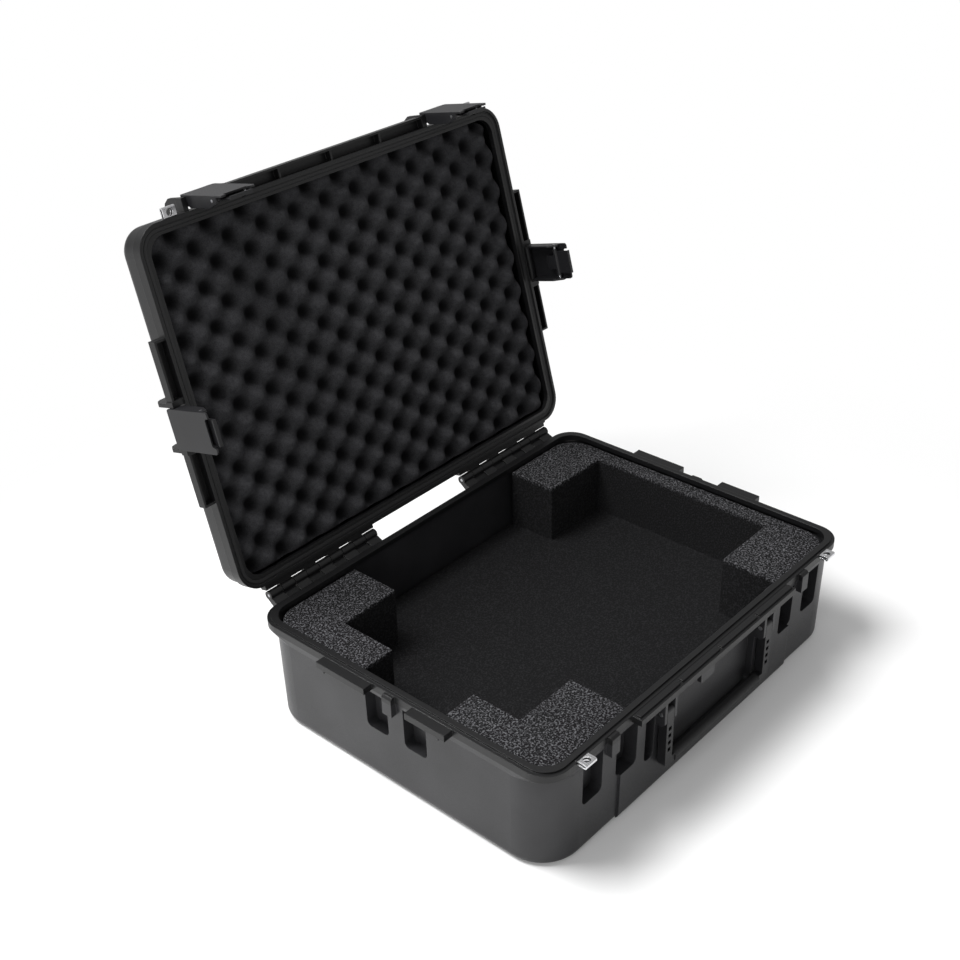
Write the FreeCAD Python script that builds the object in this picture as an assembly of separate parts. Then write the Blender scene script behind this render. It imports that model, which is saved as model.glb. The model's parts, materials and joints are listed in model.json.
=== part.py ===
"""Guitar pedal case: moulded tub and hinged lid, foam lining, four trigger latches, folding handle.

Millimetres. X runs along the hinge, -Y is the front, +Z is up. The origin is the centre of the
underside. The lid and all that rides on it is drawn closed, then swung open to its stop.
"""
import FreeCAD
import Part
import math
import os

Vector = FreeCAD.Vector
ORIGIN = Vector(0, 0, 0)
AXIS_X = Vector(1, 0, 0)
AXIS_Z = Vector(0, 0, 1)
OVERRUN = 2.0                 # how far cutting tools run past what they cut
EDGE_TOLERANCE = 0.1          # an edge this close to a plane lies in it

# Tub
OPENING_LENGTH = 654.0        # inside of the rim along X
OPENING_WIDTH = 483.0         # inside of the rim along Y
BASE_HEIGHT = 162.0           # floor to the top of the rim
RIM_WIDTH = 13.0              # inside edge to outside face
RIM_THICKNESS = 8.0
TONGUE_WIDTH = 8.0            # inner band of the rim that seats on the gasket
TONGUE_HEIGHT = 2.5           # tongue above the outer band
OPENING_CORNER = 29.0         # inside corner of the rim
CORNER_RADIUS = 36.0          # outside corner at the rim
WALL_CORNER = 62.0            # outside corner of the base's wall below the skirt
SKIRT_HEIGHT = 13.0           # smooth band round the rim
SKIRT_PROUD = 1.5             # band outside the wall below it
SKIRT_TAPER = 10.0            # slope from the band back to the wall
DRAFT = 2.5                   # lean of each wall from skirt to floor
WALL = 4.0
FLOOR = 4.0
BOTTOM_RADIUS = 11.0
CAVITY_RADIUS = 7.0
PROUD_LENGTH = 400.0          # raised middle of the front wall
PROUD_DEPTH = 3.0
PROUD_TOP = 20.0              # below the rim

# Lid
LID_DEPTH = 50.0              # rim plane to the top face
LID_RIM_WIDTH = 16.5
LID_GAP = 0.5                 # lid rim above the tongue when closed
LID_LIP_WIDTH = 4.5           # outer lip that overlaps the tongue
LID_LIP_DEPTH = 2.5
LID_TOP_RADIUS = 16.0
LID_CAVITY_RADIUS = 10.0
LID_OPEN_ANGLE = 105.0

# Gasket in the lid
GASKET_WIDTH = 4.4
GASKET_HEIGHT = 4.1
GASKET_SIDE_GAP = 0.3
GASKET_INSET = 1.8            # groove edge from the outside of the tongue
GASKET_CLEARANCE = 0.3        # gasket above the tongue, before the seal is pressed

# Hinge
HINGE_BACK = 17.5             # axis behind the rim's outside face
HINGE_RISE = 2.6              # axis above the rim
HINGE_FROM_END = 38.0         # last knuckle from the case's end
HINGE_PITCH = 23.0
HINGE_KNUCKLES = 9            # in each of the two groups, the base's at both ends
HINGE_GAP = 1.2               # between neighbouring knuckles
KNUCKLE_RADIUS = 6.6
HINGE_PIN_RADIUS = 2.5
HINGE_PIN_CLEARANCE = 0.05
HINGE_PIN_RECESS = 1.0        # pin end inside the last knuckle
KNUCKLE_ROOT_HIGH = 6.0       # arm at the base wall, below the rim
KNUCKLE_ROOT_LOW = 22.0
LID_ROOT_LOW = 2.5            # arm at the lid wall, above the rim
LID_ROOT_HIGH = 18.0
STOP_HIGH = 7.0               # stop heel, below the axis with the lid open
STOP_LOW = 13.0
STOP_CLEARANCE = 0.3
APRON_CLEARANCE = 1.5         # lid's apron to the base's knuckles
BACK_LEDGE = 3.5              # lid's ledge along the hinge side, out from the skirt

# Latch stations, measured from the wall's outside face and from the rim
STATION_FROM_END = 119.0      # front latches from the case's ends
SIDE_STATION = 2.0            # behind the middle of each side
POCKET_DEPTH = 20.0
POCKET_NEAR = 14.0            # near edge of the pocket that takes a latch cheek
POCKET_FAR = 53.0
POCKET_TOP = 19.0
FRONT_POCKET_BOTTOM = 85.0
SIDE_POCKET_BOTTOM = 80.0
POCKET_CORNER = 8.0
SIDE_POCKET_SHIFT = -5.0      # both side pockets along the wall
KEEPER_WIDTH = 16.0
KEEPER_OUT = 7.2
KEEPER_TOP = 3.5
KEEPER_LEDGE = 33.0
KEEPER_CHAMFER = 3.0

# Latch
LATCH_WIDTH = 57.0
LATCH_OUT = 20.0              # outside face from the wall
LATCH_PLATE = 2.5
LATCH_CHEEK = 2.6
LATCH_TOP = 15.0              # above the rim
LATCH_HORN = 71.0             # corners beside the finger slot, below the rim
LATCH_EDGE = 64.0             # plate's edge at the finger slot
LATCH_SLOT = 40.0             # width of the finger slot between the horns
LATCH_CORNER = 4.0
LATCH_PIVOT_OUT = 11.0
LATCH_PIVOT_RISE = 7.0
LATCH_BARREL_RADIUS = 7.0
LATCH_PIN_RADIUS = 2.5
LATCH_PIN_CLEARANCE = 0.05
CHEEK_BACK = 3.5              # cheek's inner edge from the wall
CHEEK_STRAIGHT = 44.0
CHEEK_TIP_BACK = 10.5
CHEEK_END = 60.0
LATCH_SEAT_ANGLE = 7.0        # inward swing from upright to the seated latch
FRONT_LATCH_DROOP = 3.5       # inward swing from upright at which the front latches hang free

# Trigger
TRIGGER_PIVOT_OUT = 13.3
TRIGGER_PIVOT_DROP = 51.0
TRIGGER_BARREL_RADIUS = 3.7
TRIGGER_BARREL_LENGTH = 42.0
TRIGGER_PIN_RADIUS = 2.0
TRIGGER_PIN_CLEARANCE = 0.05
TOOTH_BITE = 2.4              # tooth under the keeper's ledge when seated
TOOTH_WIDTH = 22.0
TOOTH_THICKNESS = 4.0
TOOTH_CLEARANCE = 0.7         # the tooth rises as it lets go
TRIGGER_WIDTH = 36.0
TRIGGER_PAD_BACK = 12.2       # pad's inner face from the wall
TRIGGER_PAD_THICKNESS = 2.0
TRIGGER_LIP_TOP = 74.6        # lip at the pad's end, where a fingertip catches
TRIGGER_LIP_BOTTOM = 77.0
TRIGGER_LIP_DEPTH = 5.0

# Trigger return spring
SPRING_WIRE = 0.9
SPRING_RADIUS = 2.55          # centre of the wire
SPRING_PITCH = 1.45
SPRING_QUARTERS = 9           # quarter turns
SPRING_SAMPLES = 12           # points measured on each quarter turn
SPRING_END_GAP = 0.15

# Lugs and channel round the lid's rim
LUG_CLEARANCE = 0.7           # latch side to lug
LUG_WIDTH = 7.5
LUG_OUT = 18.0
LUG_TOP = 14.0
FIN_TOP = 45.0
FIN_THICKNESS = 5.0
LATCH_PIN_RECESS = 0.8
CHANNEL_OUT = 16.5
CHANNEL_SKIN = 3.0
CHANNEL_RIB = 3.0
CHANNEL_RIB_PITCH = 95.0
SIDE_CHANNEL_FRONT = 116.0    # ends of the side channel from the middle of the side
SIDE_CHANNEL_BACK = 114.0

# Flanges of the base
FLANGE_OUT = 15.0
FLANGE_TOP = 3.0
FLANGE_BOTTOM = 12.5
FLANGE_SKIN = 3.0
FLANGE_RIB_PITCH = 45.0
FLANGE_FROM_STATION = 41.0    # front flange's ends from the latches
BAR_HEIGHT = 2.5
BAR_BACK = 4.0
BAR_FRONT = 11.0
BAR_GAP = 5.0
BAR_COUNT = 4
SIDE_FLANGE_FRONT = (-103.5, -37.0)
SIDE_FLANGE_BACK = (34.0, 121.0)
TAB_SPAN = (-50.0, -20.0)
TAB_BACK = 9.0
TAB_BOTTOM = 27.0
GUSSET_WIDTH = 3.0
GUSSET_DROP = 9.0
GUSSET_INSET = 12.0

# Narrow deep pockets outside the handle
NARROW_FROM_STATION = (90.0, 71.0)
NARROW_TOP = 20.0
NARROW_BOTTOM = 100.0

# Padlock eyes
EYE_FROM_END = 61.0           # from the case's ends
EYE_FROM_WALL = 6.5
EYE_RADIUS = 5.0
EYE_LUG_WIDTH = 18.0
EYE_LUG_OUT = 12.5
EYE_LUG_THICKNESS = 3.0
EYE_PLATE = 1.6
EYE_PLATE_WIDTH = 20.0
EYE_PLATE_BACK = 0.7          # free edge from the wall
EYE_BEND_RADIUS = 2.5
EYE_GAP = 0.4                 # plate face from the rim plane

# Handle
ARM_FROM_STATION = 105.0      # handle's arms from the front latches
HANDLE_ARM_WIDTH = 15.0
HANDLE_BACK = 2.5
HANDLE_DEPTH = 12.5
HANDLE_PIVOT_DROP = 30.0
HANDLE_BOTTOM = 122.5
HANDLE_BAR_HEIGHT = 15.0
HANDLE_CORNER = 12.0
HANDLE_CORE_INSET = 3.5       # core of the bar inside the arms' faces
HANDLE_SHOULDER = 7.0         # grip's end from the inside of the arm
HANDLE_SLOTS = 4
HANDLE_SLOT_WIDTH = 6.5
HANDLE_SLOT_HEIGHT = 6.0
HANDLE_SLOT_PITCH = 11.5
HANDLE_SLOT_START = 27.0      # first slot below the pivot
GRIP_SWELL = 1.5              # grip beyond the arms' faces
GRIP_ROUND = 6.0
BRACKET_GAP = 0.8
BRACKET_WIDTH = 5.0
BRACKET_BOTTOM = 48.0
BRACKET_CHAMFER = 4.0
HANDLE_RECESS_DEPTH = 9.0     # wall sunk behind the bar
HANDLE_RECESS_BELOW = 2.0     # recess below the bar
HANDLE_PIN_RADIUS = 3.0
HANDLE_PIN_CLEARANCE = 0.05

# Foam
FOAM_GAP = 0.3                # foam to the shell
FOAM_TOP = 10.0               # below the rim
RECESS_DEPTH = 105.0          # below the rim
FOAM_CORNER = 40.0            # upright corners, clear of the tub's
FOAM_LEFT = 61.0              # recess from the inside of the rim, on each side
FOAM_RIGHT = 27.0
FOAM_FRONT = 93.5
FOAM_BACK = 81.5
FRONT_BLOCKS = (162.0, 142.0)    # left and right block along the front
BACK_BLOCKS = (160.0, 147.0)
LEFT_RAILS = (76.0, 91.0)     # front and back rail on the left
FOAM_BOTTOM_RADIUS = 14.0
PEAK_GAP = 4.5                # foam peaks behind the lid's rim plane
PEAK_HEIGHT = 22.0
PEAK_PITCH_X = 58.0
PEAK_PITCH_Y = 54.0
PEAK_BASE_RADIUS = 19.0
PEAK_TOP_RADIUS = 7.0
PEAK_SHIFT_X = 14.0
PEAK_SHIFT_Y = 10.0
PEAK_SINK = 1.0               # cone foot inside the slab

# Worked out from the sizes above
HALF_LENGTH = OPENING_LENGTH / 2 + RIM_WIDTH
HALF_WIDTH = OPENING_WIDTH / 2 + RIM_WIDTH
WALL_IN = SKIRT_PROUD
HINGE_Y = HALF_WIDTH + HINGE_BACK
HINGE_Z = BASE_HEIGHT + HINGE_RISE
HINGE_START = HALF_LENGTH - HINGE_FROM_END - HINGE_PITCH * HINGE_KNUCKLES
FRONT_STATION = HALF_LENGTH - STATION_FROM_END
FRONT_FLANGE_HALF = FRONT_STATION - FLANGE_FROM_STATION
NARROW_POCKET = tuple(FRONT_STATION - reach for reach in NARROW_FROM_STATION)
EYE_PLACE = HALF_LENGTH - EYE_FROM_END
EYE_THICKNESS = EYE_LUG_THICKNESS + EYE_PLATE * 2
HANDLE_ARM_PLACE = FRONT_STATION - ARM_FROM_STATION
RECESS_X = (FOAM_LEFT - OPENING_LENGTH / 2, OPENING_LENGTH / 2 - FOAM_RIGHT)
RECESS_Y = (FOAM_FRONT - OPENING_WIDTH / 2, OPENING_WIDTH / 2 - FOAM_BACK)
FRONT_WELL = (FRONT_BLOCKS[0] - OPENING_LENGTH / 2, OPENING_LENGTH / 2 - FRONT_BLOCKS[1])
BACK_WELL = (BACK_BLOCKS[0] - OPENING_LENGTH / 2, OPENING_LENGTH / 2 - BACK_BLOCKS[1])
LEFT_WELL = (RECESS_Y[0] + LEFT_RAILS[0], RECESS_Y[1] - LEFT_RAILS[1])
LATCH_HALF = LATCH_WIDTH / 2
LUG_IN = LATCH_HALF + LUG_CLEARANCE
LUG_END = LUG_IN + LUG_WIDTH
SKIN_BACK = WALL              # how far outside features reach into the wall


def block(x, y, z):
    """Box between (low, high) pairs."""
    return Part.makeBox(x[1] - x[0], y[1] - y[0], z[1] - z[0], Vector(x[0], y[0], z[0]))


def rod(radius, start, length, direction):
    return Part.makeCylinder(radius, length, start, direction)


def rounded_wire(half_x, half_y, radius, z):
    """Rectangle with rounded corners in a level plane."""
    edges = []
    reach = radius * math.cos(math.pi / 4)
    corners = [(1, 1), (-1, 1), (-1, -1), (1, -1)]
    starts = []
    for index, (sx, sy) in enumerate(corners):
        cx = sx * (half_x - radius)
        cy = sy * (half_y - radius)
        along = Vector(cx + sx * radius, cy, z)
        across = Vector(cx, cy + sy * radius, z)
        middle = Vector(cx + sx * reach, cy + sy * reach, z)
        first, last = (along, across) if index % 2 == 0 else (across, along)
        starts.append((first, last))
        edges.append(Part.Arc(first, middle, last).toShape())
    joined = []
    for index, edge in enumerate(edges):
        following = starts[(index + 1) % len(starts)][0]
        joined.append(edge)
        joined.append(Part.LineSegment(starts[index][1], following).toShape())
    return Part.Wire(joined)


def rounded_prism(half_x, half_y, radius, low, high):
    face = Part.Face(rounded_wire(half_x, half_y, radius, low))
    return face.extrude(Vector(0, 0, high - low))


def drafted_prism(half_x, half_y, radius, lean, narrow_z, wide_z):
    """Rounded prism that is narrower by the lean at one end."""
    narrow = rounded_wire(half_x - lean, half_y - lean, radius - lean, narrow_z)
    wide = rounded_wire(half_x, half_y, radius, wide_z)
    ends = [narrow, wide] if narrow_z < wide_z else [wide, narrow]
    return Part.makeLoft(ends, True, True)


def fillet_level(shape, z, radius):
    """Round every edge that lies in the level plane z."""
    tolerance = radius / 1000
    level = [edge for edge in shape.Edges
             if all(abs(vertex.Point.z - z) < tolerance for vertex in edge.Vertexes)]
    return shape.makeFillet(radius, level)


def side_profile(points, low, high):
    """Outline in (outward, up) from the wall's face at the rim, extruded along the wall."""
    corners = [Vector(low, -out, up) for out, up in points]
    return Part.Face(Part.makePolygon(corners + corners[:1])).extrude(Vector(high - low, 0, 0))


def wall_box(along, out, up):
    """Box in a station's own place: along the wall, outward, up from the rim."""
    return block(along, (-out[1], -out[0]), up)


def pocket(along, top, bottom, depth=POCKET_DEPTH):
    """Pocket sunk in the outside of a wall, with round lower corners."""
    box = wall_box(along, (-depth, PROUD_DEPTH + OVERRUN), (-bottom, -top))
    corners = [edge for edge in box.Edges
               if all(abs(vertex.Point.z + bottom) < EDGE_TOLERANCE for vertex in edge.Vertexes)
               and abs(edge.Vertexes[0].Point.y - edge.Vertexes[1].Point.y) > depth]
    return box.makeFillet(POCKET_CORNER, corners)


def pocket_back(along, top, bottom, depth=POCKET_DEPTH, room=0):
    """Skin behind a pocket, on the inside of the wall, with any room left round it."""
    spread = (along[0] - WALL - room, along[1] + WALL + room)
    upper = max(top - WALL, TONGUE_HEIGHT) - room
    return wall_box(spread, (-depth - WALL - room, -WALL), (-bottom - WALL - room, -upper))


def pocket_room(along, top, bottom):
    """Space that the foam leaves round the skin behind a pocket."""
    return pocket_back(along, top, bottom, POCKET_DEPTH, FOAM_GAP)


def each_pocket(shape):
    """The shape of every deep pocket on the right half, at its place."""
    side = SIDE_STATION + SIDE_POCKET_SHIFT
    placed = [at_front(shape(NARROW_POCKET, NARROW_TOP, NARROW_BOTTOM))]
    for span in ((-POCKET_FAR, -POCKET_NEAR), (POCKET_NEAR, POCKET_FAR)):
        placed += [at_front(shape(span, POCKET_TOP, FRONT_POCKET_BOTTOM), FRONT_STATION),
                   at_right(shape(span, POCKET_TOP, SIDE_POCKET_BOTTOM), side)]
    return placed


def at_front(shape, along=0):
    moved = shape.copy()
    moved.translate(Vector(along, -HALF_WIDTH, BASE_HEIGHT))
    return moved


def at_right(shape, along=0):
    moved = shape.copy()
    moved.rotate(ORIGIN, AXIS_Z, 90)
    moved.translate(Vector(HALF_LENGTH, along, BASE_HEIGHT))
    return moved


def at_left(shape, along=0):
    moved = shape.copy()
    moved.rotate(ORIGIN, AXIS_Z, -90)
    moved.translate(Vector(-HALF_LENGTH, along, BASE_HEIGHT))
    return moved


def mirrored(shape):
    return shape.mirror(ORIGIN, AXIS_X)


def both_sides(shapes):
    return shapes + [mirrored(shape) for shape in shapes]


def opened(shape):
    """Swing a piece drawn on the closed lid to the open stop."""
    moved = shape.copy()
    moved.rotate(Vector(0, HINGE_Y, HINGE_Z), AXIS_X, -LID_OPEN_ANGLE)
    return moved


def swung(point, pivot, degrees):
    """Turn an (outward, up) point about a pivot, outward positive."""
    angle = math.radians(degrees)
    out = point[0] - pivot[0]
    up = point[1] - pivot[1]
    return (pivot[0] + out * math.cos(angle) - up * math.sin(angle),
            pivot[1] + out * math.sin(angle) + up * math.cos(angle))


# Base shell

def tub():
    """Walls, floor and rim of the base before its outside features."""
    skirt_low = BASE_HEIGHT - SKIRT_HEIGHT
    outside = drafted_prism(HALF_LENGTH - WALL_IN, HALF_WIDTH - WALL_IN, WALL_CORNER - WALL_IN,
                            DRAFT, 0, skirt_low)
    outside = fillet_level(outside, 0, BOTTOM_RADIUS)
    lean = WALL_IN + DRAFT * SKIRT_TAPER / skirt_low
    low = rounded_wire(HALF_LENGTH - lean, HALF_WIDTH - lean, WALL_CORNER - lean,
                       skirt_low - SKIRT_TAPER)
    high = rounded_wire(HALF_LENGTH, HALF_WIDTH, CORNER_RADIUS, skirt_low)
    slope = Part.makeLoft([low, high], True, True)
    skirt = rounded_prism(HALF_LENGTH, HALF_WIDTH, CORNER_RADIUS,
                          skirt_low, BASE_HEIGHT - TONGUE_HEIGHT)
    tongue_inset = RIM_WIDTH - TONGUE_WIDTH
    tongue = rounded_prism(HALF_LENGTH - tongue_inset, HALF_WIDTH - tongue_inset,
                           CORNER_RADIUS - tongue_inset,
                           BASE_HEIGHT - RIM_THICKNESS, BASE_HEIGHT)
    inset = WALL_IN + WALL
    cavity = drafted_prism(HALF_LENGTH - inset, HALF_WIDTH - inset, WALL_CORNER - inset,
                           DRAFT, FLOOR, BASE_HEIGHT - RIM_THICKNESS)
    cavity = fillet_level(cavity, FLOOR, CAVITY_RADIUS)
    opening = rounded_prism(OPENING_LENGTH / 2, OPENING_WIDTH / 2, OPENING_CORNER,
                            BASE_HEIGHT - RIM_THICKNESS - OVERRUN, BASE_HEIGHT + OVERRUN)
    return outside.multiFuse([slope, skirt, tongue]).cut(cavity).cut(opening)


def front_panel():
    """Raised middle of the front wall between the latch stations."""
    out = WALL_IN - PROUD_DEPTH
    panel = drafted_prism(HALF_LENGTH - out, HALF_WIDTH - out, WALL_CORNER - out,
                          DRAFT, 0, BASE_HEIGHT - PROUD_TOP)
    panel = fillet_level(panel, 0, BOTTOM_RADIUS)
    back = HALF_WIDTH - WALL_IN - DRAFT - WALL / 2
    keep = block((-PROUD_LENGTH / 2, PROUD_LENGTH / 2), (-HALF_WIDTH - BOTTOM_RADIUS, -back),
                 (0, BASE_HEIGHT))
    inset = out + WALL + PROUD_DEPTH
    hollow = drafted_prism(HALF_LENGTH - inset, HALF_WIDTH - inset, WALL_CORNER - inset,
                           DRAFT, FLOOR, BASE_HEIGHT)
    hollow = fillet_level(hollow, FLOOR, CAVITY_RADIUS)
    return panel.common(keep).cut(hollow)


def keeper():
    """Block on the base that the trigger's tooth hooks under."""
    half = KEEPER_WIDTH / 2
    outline = [(-SKIN_BACK, -KEEPER_TOP), (KEEPER_OUT - KEEPER_CHAMFER, -KEEPER_TOP),
               (KEEPER_OUT, -KEEPER_TOP - KEEPER_CHAMFER), (KEEPER_OUT, -KEEPER_LEDGE),
               (-SKIN_BACK, -KEEPER_LEDGE)]
    return side_profile(outline, -half, half)


def flange(low, high):
    """Hollow flange, open below, with cross ribs."""
    body = wall_box((low, high), (-SKIN_BACK, FLANGE_OUT), (-FLANGE_BOTTOM, -FLANGE_TOP))
    inner = wall_box((low + FLANGE_SKIN, high - FLANGE_SKIN), (0, FLANGE_OUT - FLANGE_SKIN),
                     (-FLANGE_BOTTOM - OVERRUN, -FLANGE_TOP - FLANGE_SKIN))
    ribs = []
    count = int((high - low) / FLANGE_RIB_PITCH)
    for index in range(1, count):
        middle = low + (high - low) * index / count
        ribs.append(wall_box((middle - GUSSET_WIDTH / 2, middle + GUSSET_WIDTH / 2),
                             (-SKIN_BACK / 2, FLANGE_OUT - FLANGE_SKIN / 2),
                             (-FLANGE_BOTTOM, -FLANGE_TOP - FLANGE_SKIN / 2)))
    hollow = body.cut(inner)
    return hollow.multiFuse(ribs) if ribs else hollow


def flange_gusset(place):
    """Small triangle under the end of a side flange."""
    outline = [(-SKIN_BACK, -FLANGE_BOTTOM), (FLANGE_OUT, -FLANGE_BOTTOM),
               (FLANGE_OUT, -FLANGE_BOTTOM - GUSSET_WIDTH),
               (-SKIN_BACK, -FLANGE_BOTTOM - GUSSET_DROP)]
    return side_profile(outline, place - GUSSET_WIDTH / 2, place + GUSSET_WIDTH / 2)


def front_bars():
    """Low bars on the front flange that sit under the lid's channel when closed."""
    pitch = FRONT_FLANGE_HALF * 2 / BAR_COUNT
    bars = []
    for index in range(BAR_COUNT):
        start = -FRONT_FLANGE_HALF + pitch * index
        bars.append(wall_box((start + BAR_GAP / 2, start + pitch - BAR_GAP / 2),
                             (BAR_BACK, BAR_FRONT), (-FLANGE_TOP - FLANGE_SKIN / 2,
                                                     -FLANGE_TOP + BAR_HEIGHT)))
    return bars


def front_tab():
    tab = wall_box(TAB_SPAN, (TAB_BACK, FLANGE_OUT), (-TAB_BOTTOM, -FLANGE_TOP - FLANGE_SKIN / 2))
    corners = [edge for edge in tab.Edges
               if all(abs(vertex.Point.z + TAB_BOTTOM) < EDGE_TOLERANCE for vertex in edge.Vertexes)
               and abs(edge.Vertexes[0].Point.x - edge.Vertexes[1].Point.x) < EDGE_TOLERANCE]
    return tab.makeFillet((FLANGE_OUT - TAB_BACK) / 2, corners)


def eye_lug():
    """Plastic lug of a padlock eye, its top face one plate below z = 0."""
    half = EYE_LUG_WIDTH / 2
    return wall_box((-half, half), (-SKIN_BACK, EYE_LUG_OUT),
                    (-EYE_PLATE - EYE_LUG_THICKNESS, -EYE_PLATE))


def eye_hole(high, length):
    return rod(EYE_RADIUS, Vector(0, -EYE_FROM_WALL, high), length, -AXIS_Z)


def handle_bracket():
    """Cheek that holds one side of a handle pivot, hung from the flange."""
    pivot_out = HANDLE_BACK + HANDLE_DEPTH / 2
    top = -FLANGE_TOP - FLANGE_SKIN / 2
    outline = [(-SKIN_BACK, top), (FLANGE_OUT, top),
               (FLANGE_OUT, -BRACKET_BOTTOM + BRACKET_CHAMFER),
               (FLANGE_OUT - BRACKET_CHAMFER, -BRACKET_BOTTOM), (-SKIN_BACK, -BRACKET_BOTTOM)]
    cheek = side_profile(outline, 0, BRACKET_WIDTH)
    bore = rod(HANDLE_PIN_RADIUS, Vector(-OVERRUN, -pivot_out, -HANDLE_PIVOT_DROP),
               BRACKET_WIDTH + OVERRUN * 2, AXIS_X)
    return cheek.cut(bore)


def handle_bracket_places():
    """Start of each cheek along the front: one inside and one outside the right arm."""
    half = HANDLE_ARM_WIDTH / 2 + BRACKET_GAP
    return (HANDLE_ARM_PLACE - half - BRACKET_WIDTH, HANDLE_ARM_PLACE + half)


def knuckle_span(index):
    start = HINGE_START + HINGE_PITCH * index
    return (start + HINGE_GAP / 2, start + HINGE_PITCH - HINGE_GAP / 2)


def hinge_prism(points, span):
    """Outline in (y, z) about the hinge axis, extruded along X."""
    corners = [Vector(span[0], HINGE_Y + y, HINGE_Z + z) for y, z in points]
    return Part.Face(Part.makePolygon(corners + corners[:1])).extrude(Vector(span[1] - span[0], 0, 0))


def knuckle(span):
    return rod(KNUCKLE_RADIUS, Vector(span[0], HINGE_Y, HINGE_Z), span[1] - span[0], AXIS_X)


def base_knuckles():
    """Knuckles of the right group and the arms that carry them."""
    root = -HINGE_BACK - SKIN_BACK
    low = -HINGE_RISE - KNUCKLE_ROOT_LOW
    high = -HINGE_RISE - KNUCKLE_ROOT_HIGH
    outline = [(root, low), (KNUCKLE_RADIUS / 2, -KNUCKLE_RADIUS * 3 / 4), (0, 0), (root, high)]
    pieces = []
    for index in range(0, HINGE_KNUCKLES, 2):
        span = knuckle_span(index)
        pieces += [hinge_prism(outline, span), knuckle(span)]
    return pieces


def hinge_bore():
    radius = HINGE_PIN_RADIUS + HINGE_PIN_CLEARANCE
    length = HINGE_PITCH * HINGE_KNUCKLES
    return rod(radius, Vector(HINGE_START, HINGE_Y, HINGE_Z), length, AXIS_X)


def base_shell():
    recess_half = handle_bracket_places()[0]
    recess = ((-recess_half, recess_half), PROUD_TOP, HANDLE_BOTTOM + HANDLE_RECESS_BELOW,
              HANDLE_RECESS_DEPTH)
    backs = both_sides(each_pocket(pocket_back)) + [at_front(pocket_back(*recess))]
    pockets = both_sides(each_pocket(pocket)) + [at_front(pocket(*recess))]
    lug = eye_lug()
    lug.translate(Vector(0, 0, -EYE_GAP))
    raised = [at_front(keeper(), FRONT_STATION), at_right(keeper(), SIDE_STATION),
              at_right(flange(*SIDE_FLANGE_FRONT)), at_right(flange(*SIDE_FLANGE_BACK)),
              at_right(flange_gusset(SIDE_FLANGE_FRONT[0] + GUSSET_INSET)),
              at_right(flange_gusset(SIDE_FLANGE_BACK[1] - GUSSET_INSET)),
              at_front(lug, EYE_PLACE)]
    raised += [at_front(handle_bracket(), place) for place in handle_bracket_places()]
    raised += base_knuckles()
    middle = [at_front(flange(-FRONT_FLANGE_HALF, FRONT_FLANGE_HALF)), at_front(front_tab())]
    middle += [at_front(bar) for bar in front_bars()]
    holes = [at_front(eye_hole(OVERRUN, EYE_THICKNESS + OVERRUN * 2), EYE_PLACE), hinge_bore()]
    shell = tub().fuse(front_panel())
    shell = shell.multiFuse(backs).cut(Part.makeCompound(pockets))
    shell = shell.multiFuse(both_sides(raised) + middle)
    return shell.cut(Part.makeCompound(both_sides(holes)))


# Lid shell

def lid_ring(inset_out, inset_in, low, high):
    """Ring between two insets from the outside face, between two heights above the rim."""
    outer = rounded_prism(HALF_LENGTH - inset_out, HALF_WIDTH - inset_out,
                          CORNER_RADIUS - inset_out, BASE_HEIGHT + low, BASE_HEIGHT + high)
    inner = rounded_prism(HALF_LENGTH - inset_in, HALF_WIDTH - inset_in, CORNER_RADIUS - inset_in,
                          BASE_HEIGHT + low - OVERRUN, BASE_HEIGHT + high + OVERRUN)
    return outer.cut(inner)


def lid_dish():
    """Walls, top and rim of the lid before its outside features, drawn closed."""
    rim = BASE_HEIGHT + LID_GAP
    top = BASE_HEIGHT + LID_DEPTH
    outside = drafted_prism(HALF_LENGTH - WALL_IN, HALF_WIDTH - WALL_IN, CORNER_RADIUS - WALL_IN,
                            DRAFT, top, rim)
    outside = fillet_level(outside, top, LID_TOP_RADIUS)
    skirt = rounded_prism(HALF_LENGTH, HALF_WIDTH, CORNER_RADIUS, rim, BASE_HEIGHT + LUG_TOP)
    inset = WALL_IN + WALL
    cavity = drafted_prism(HALF_LENGTH - inset, HALF_WIDTH - inset, CORNER_RADIUS - inset,
                           DRAFT, top - WALL, rim + RIM_THICKNESS)
    cavity = fillet_level(cavity, top - WALL, LID_CAVITY_RADIUS)
    opening = rounded_prism(HALF_LENGTH - LID_RIM_WIDTH, HALF_WIDTH - LID_RIM_WIDTH,
                            OPENING_CORNER + RIM_WIDTH - LID_RIM_WIDTH, rim - OVERRUN,
                            rim + RIM_THICKNESS + OVERRUN)
    return outside.fuse(skirt).cut(cavity).cut(opening)


def gasket_edges():
    """Insets of the groove's two sides from the outside face."""
    outer = RIM_WIDTH - TONGUE_WIDTH + GASKET_INSET
    return outer, outer + GASKET_WIDTH + GASKET_SIDE_GAP * 2


def channel(low, high, ribs):
    """Lid flange open towards the base, with cross ribs."""
    body = wall_box((low, high), (-SKIN_BACK, CHANNEL_OUT), (LID_GAP, LUG_TOP))
    groove = wall_box((low + CHANNEL_SKIN, high - CHANNEL_SKIN), (0, CHANNEL_OUT - CHANNEL_SKIN),
                      (LID_GAP - OVERRUN, LUG_TOP - CHANNEL_SKIN))
    webs = [wall_box((place - CHANNEL_RIB / 2, place + CHANNEL_RIB / 2),
                     (-SKIN_BACK / 2, CHANNEL_OUT - CHANNEL_SKIN / 2),
                     (LID_GAP, LUG_TOP - CHANNEL_SKIN / 2)) for place in ribs]
    hollow = body.cut(groove)
    return hollow.multiFuse(webs) if webs else hollow


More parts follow.
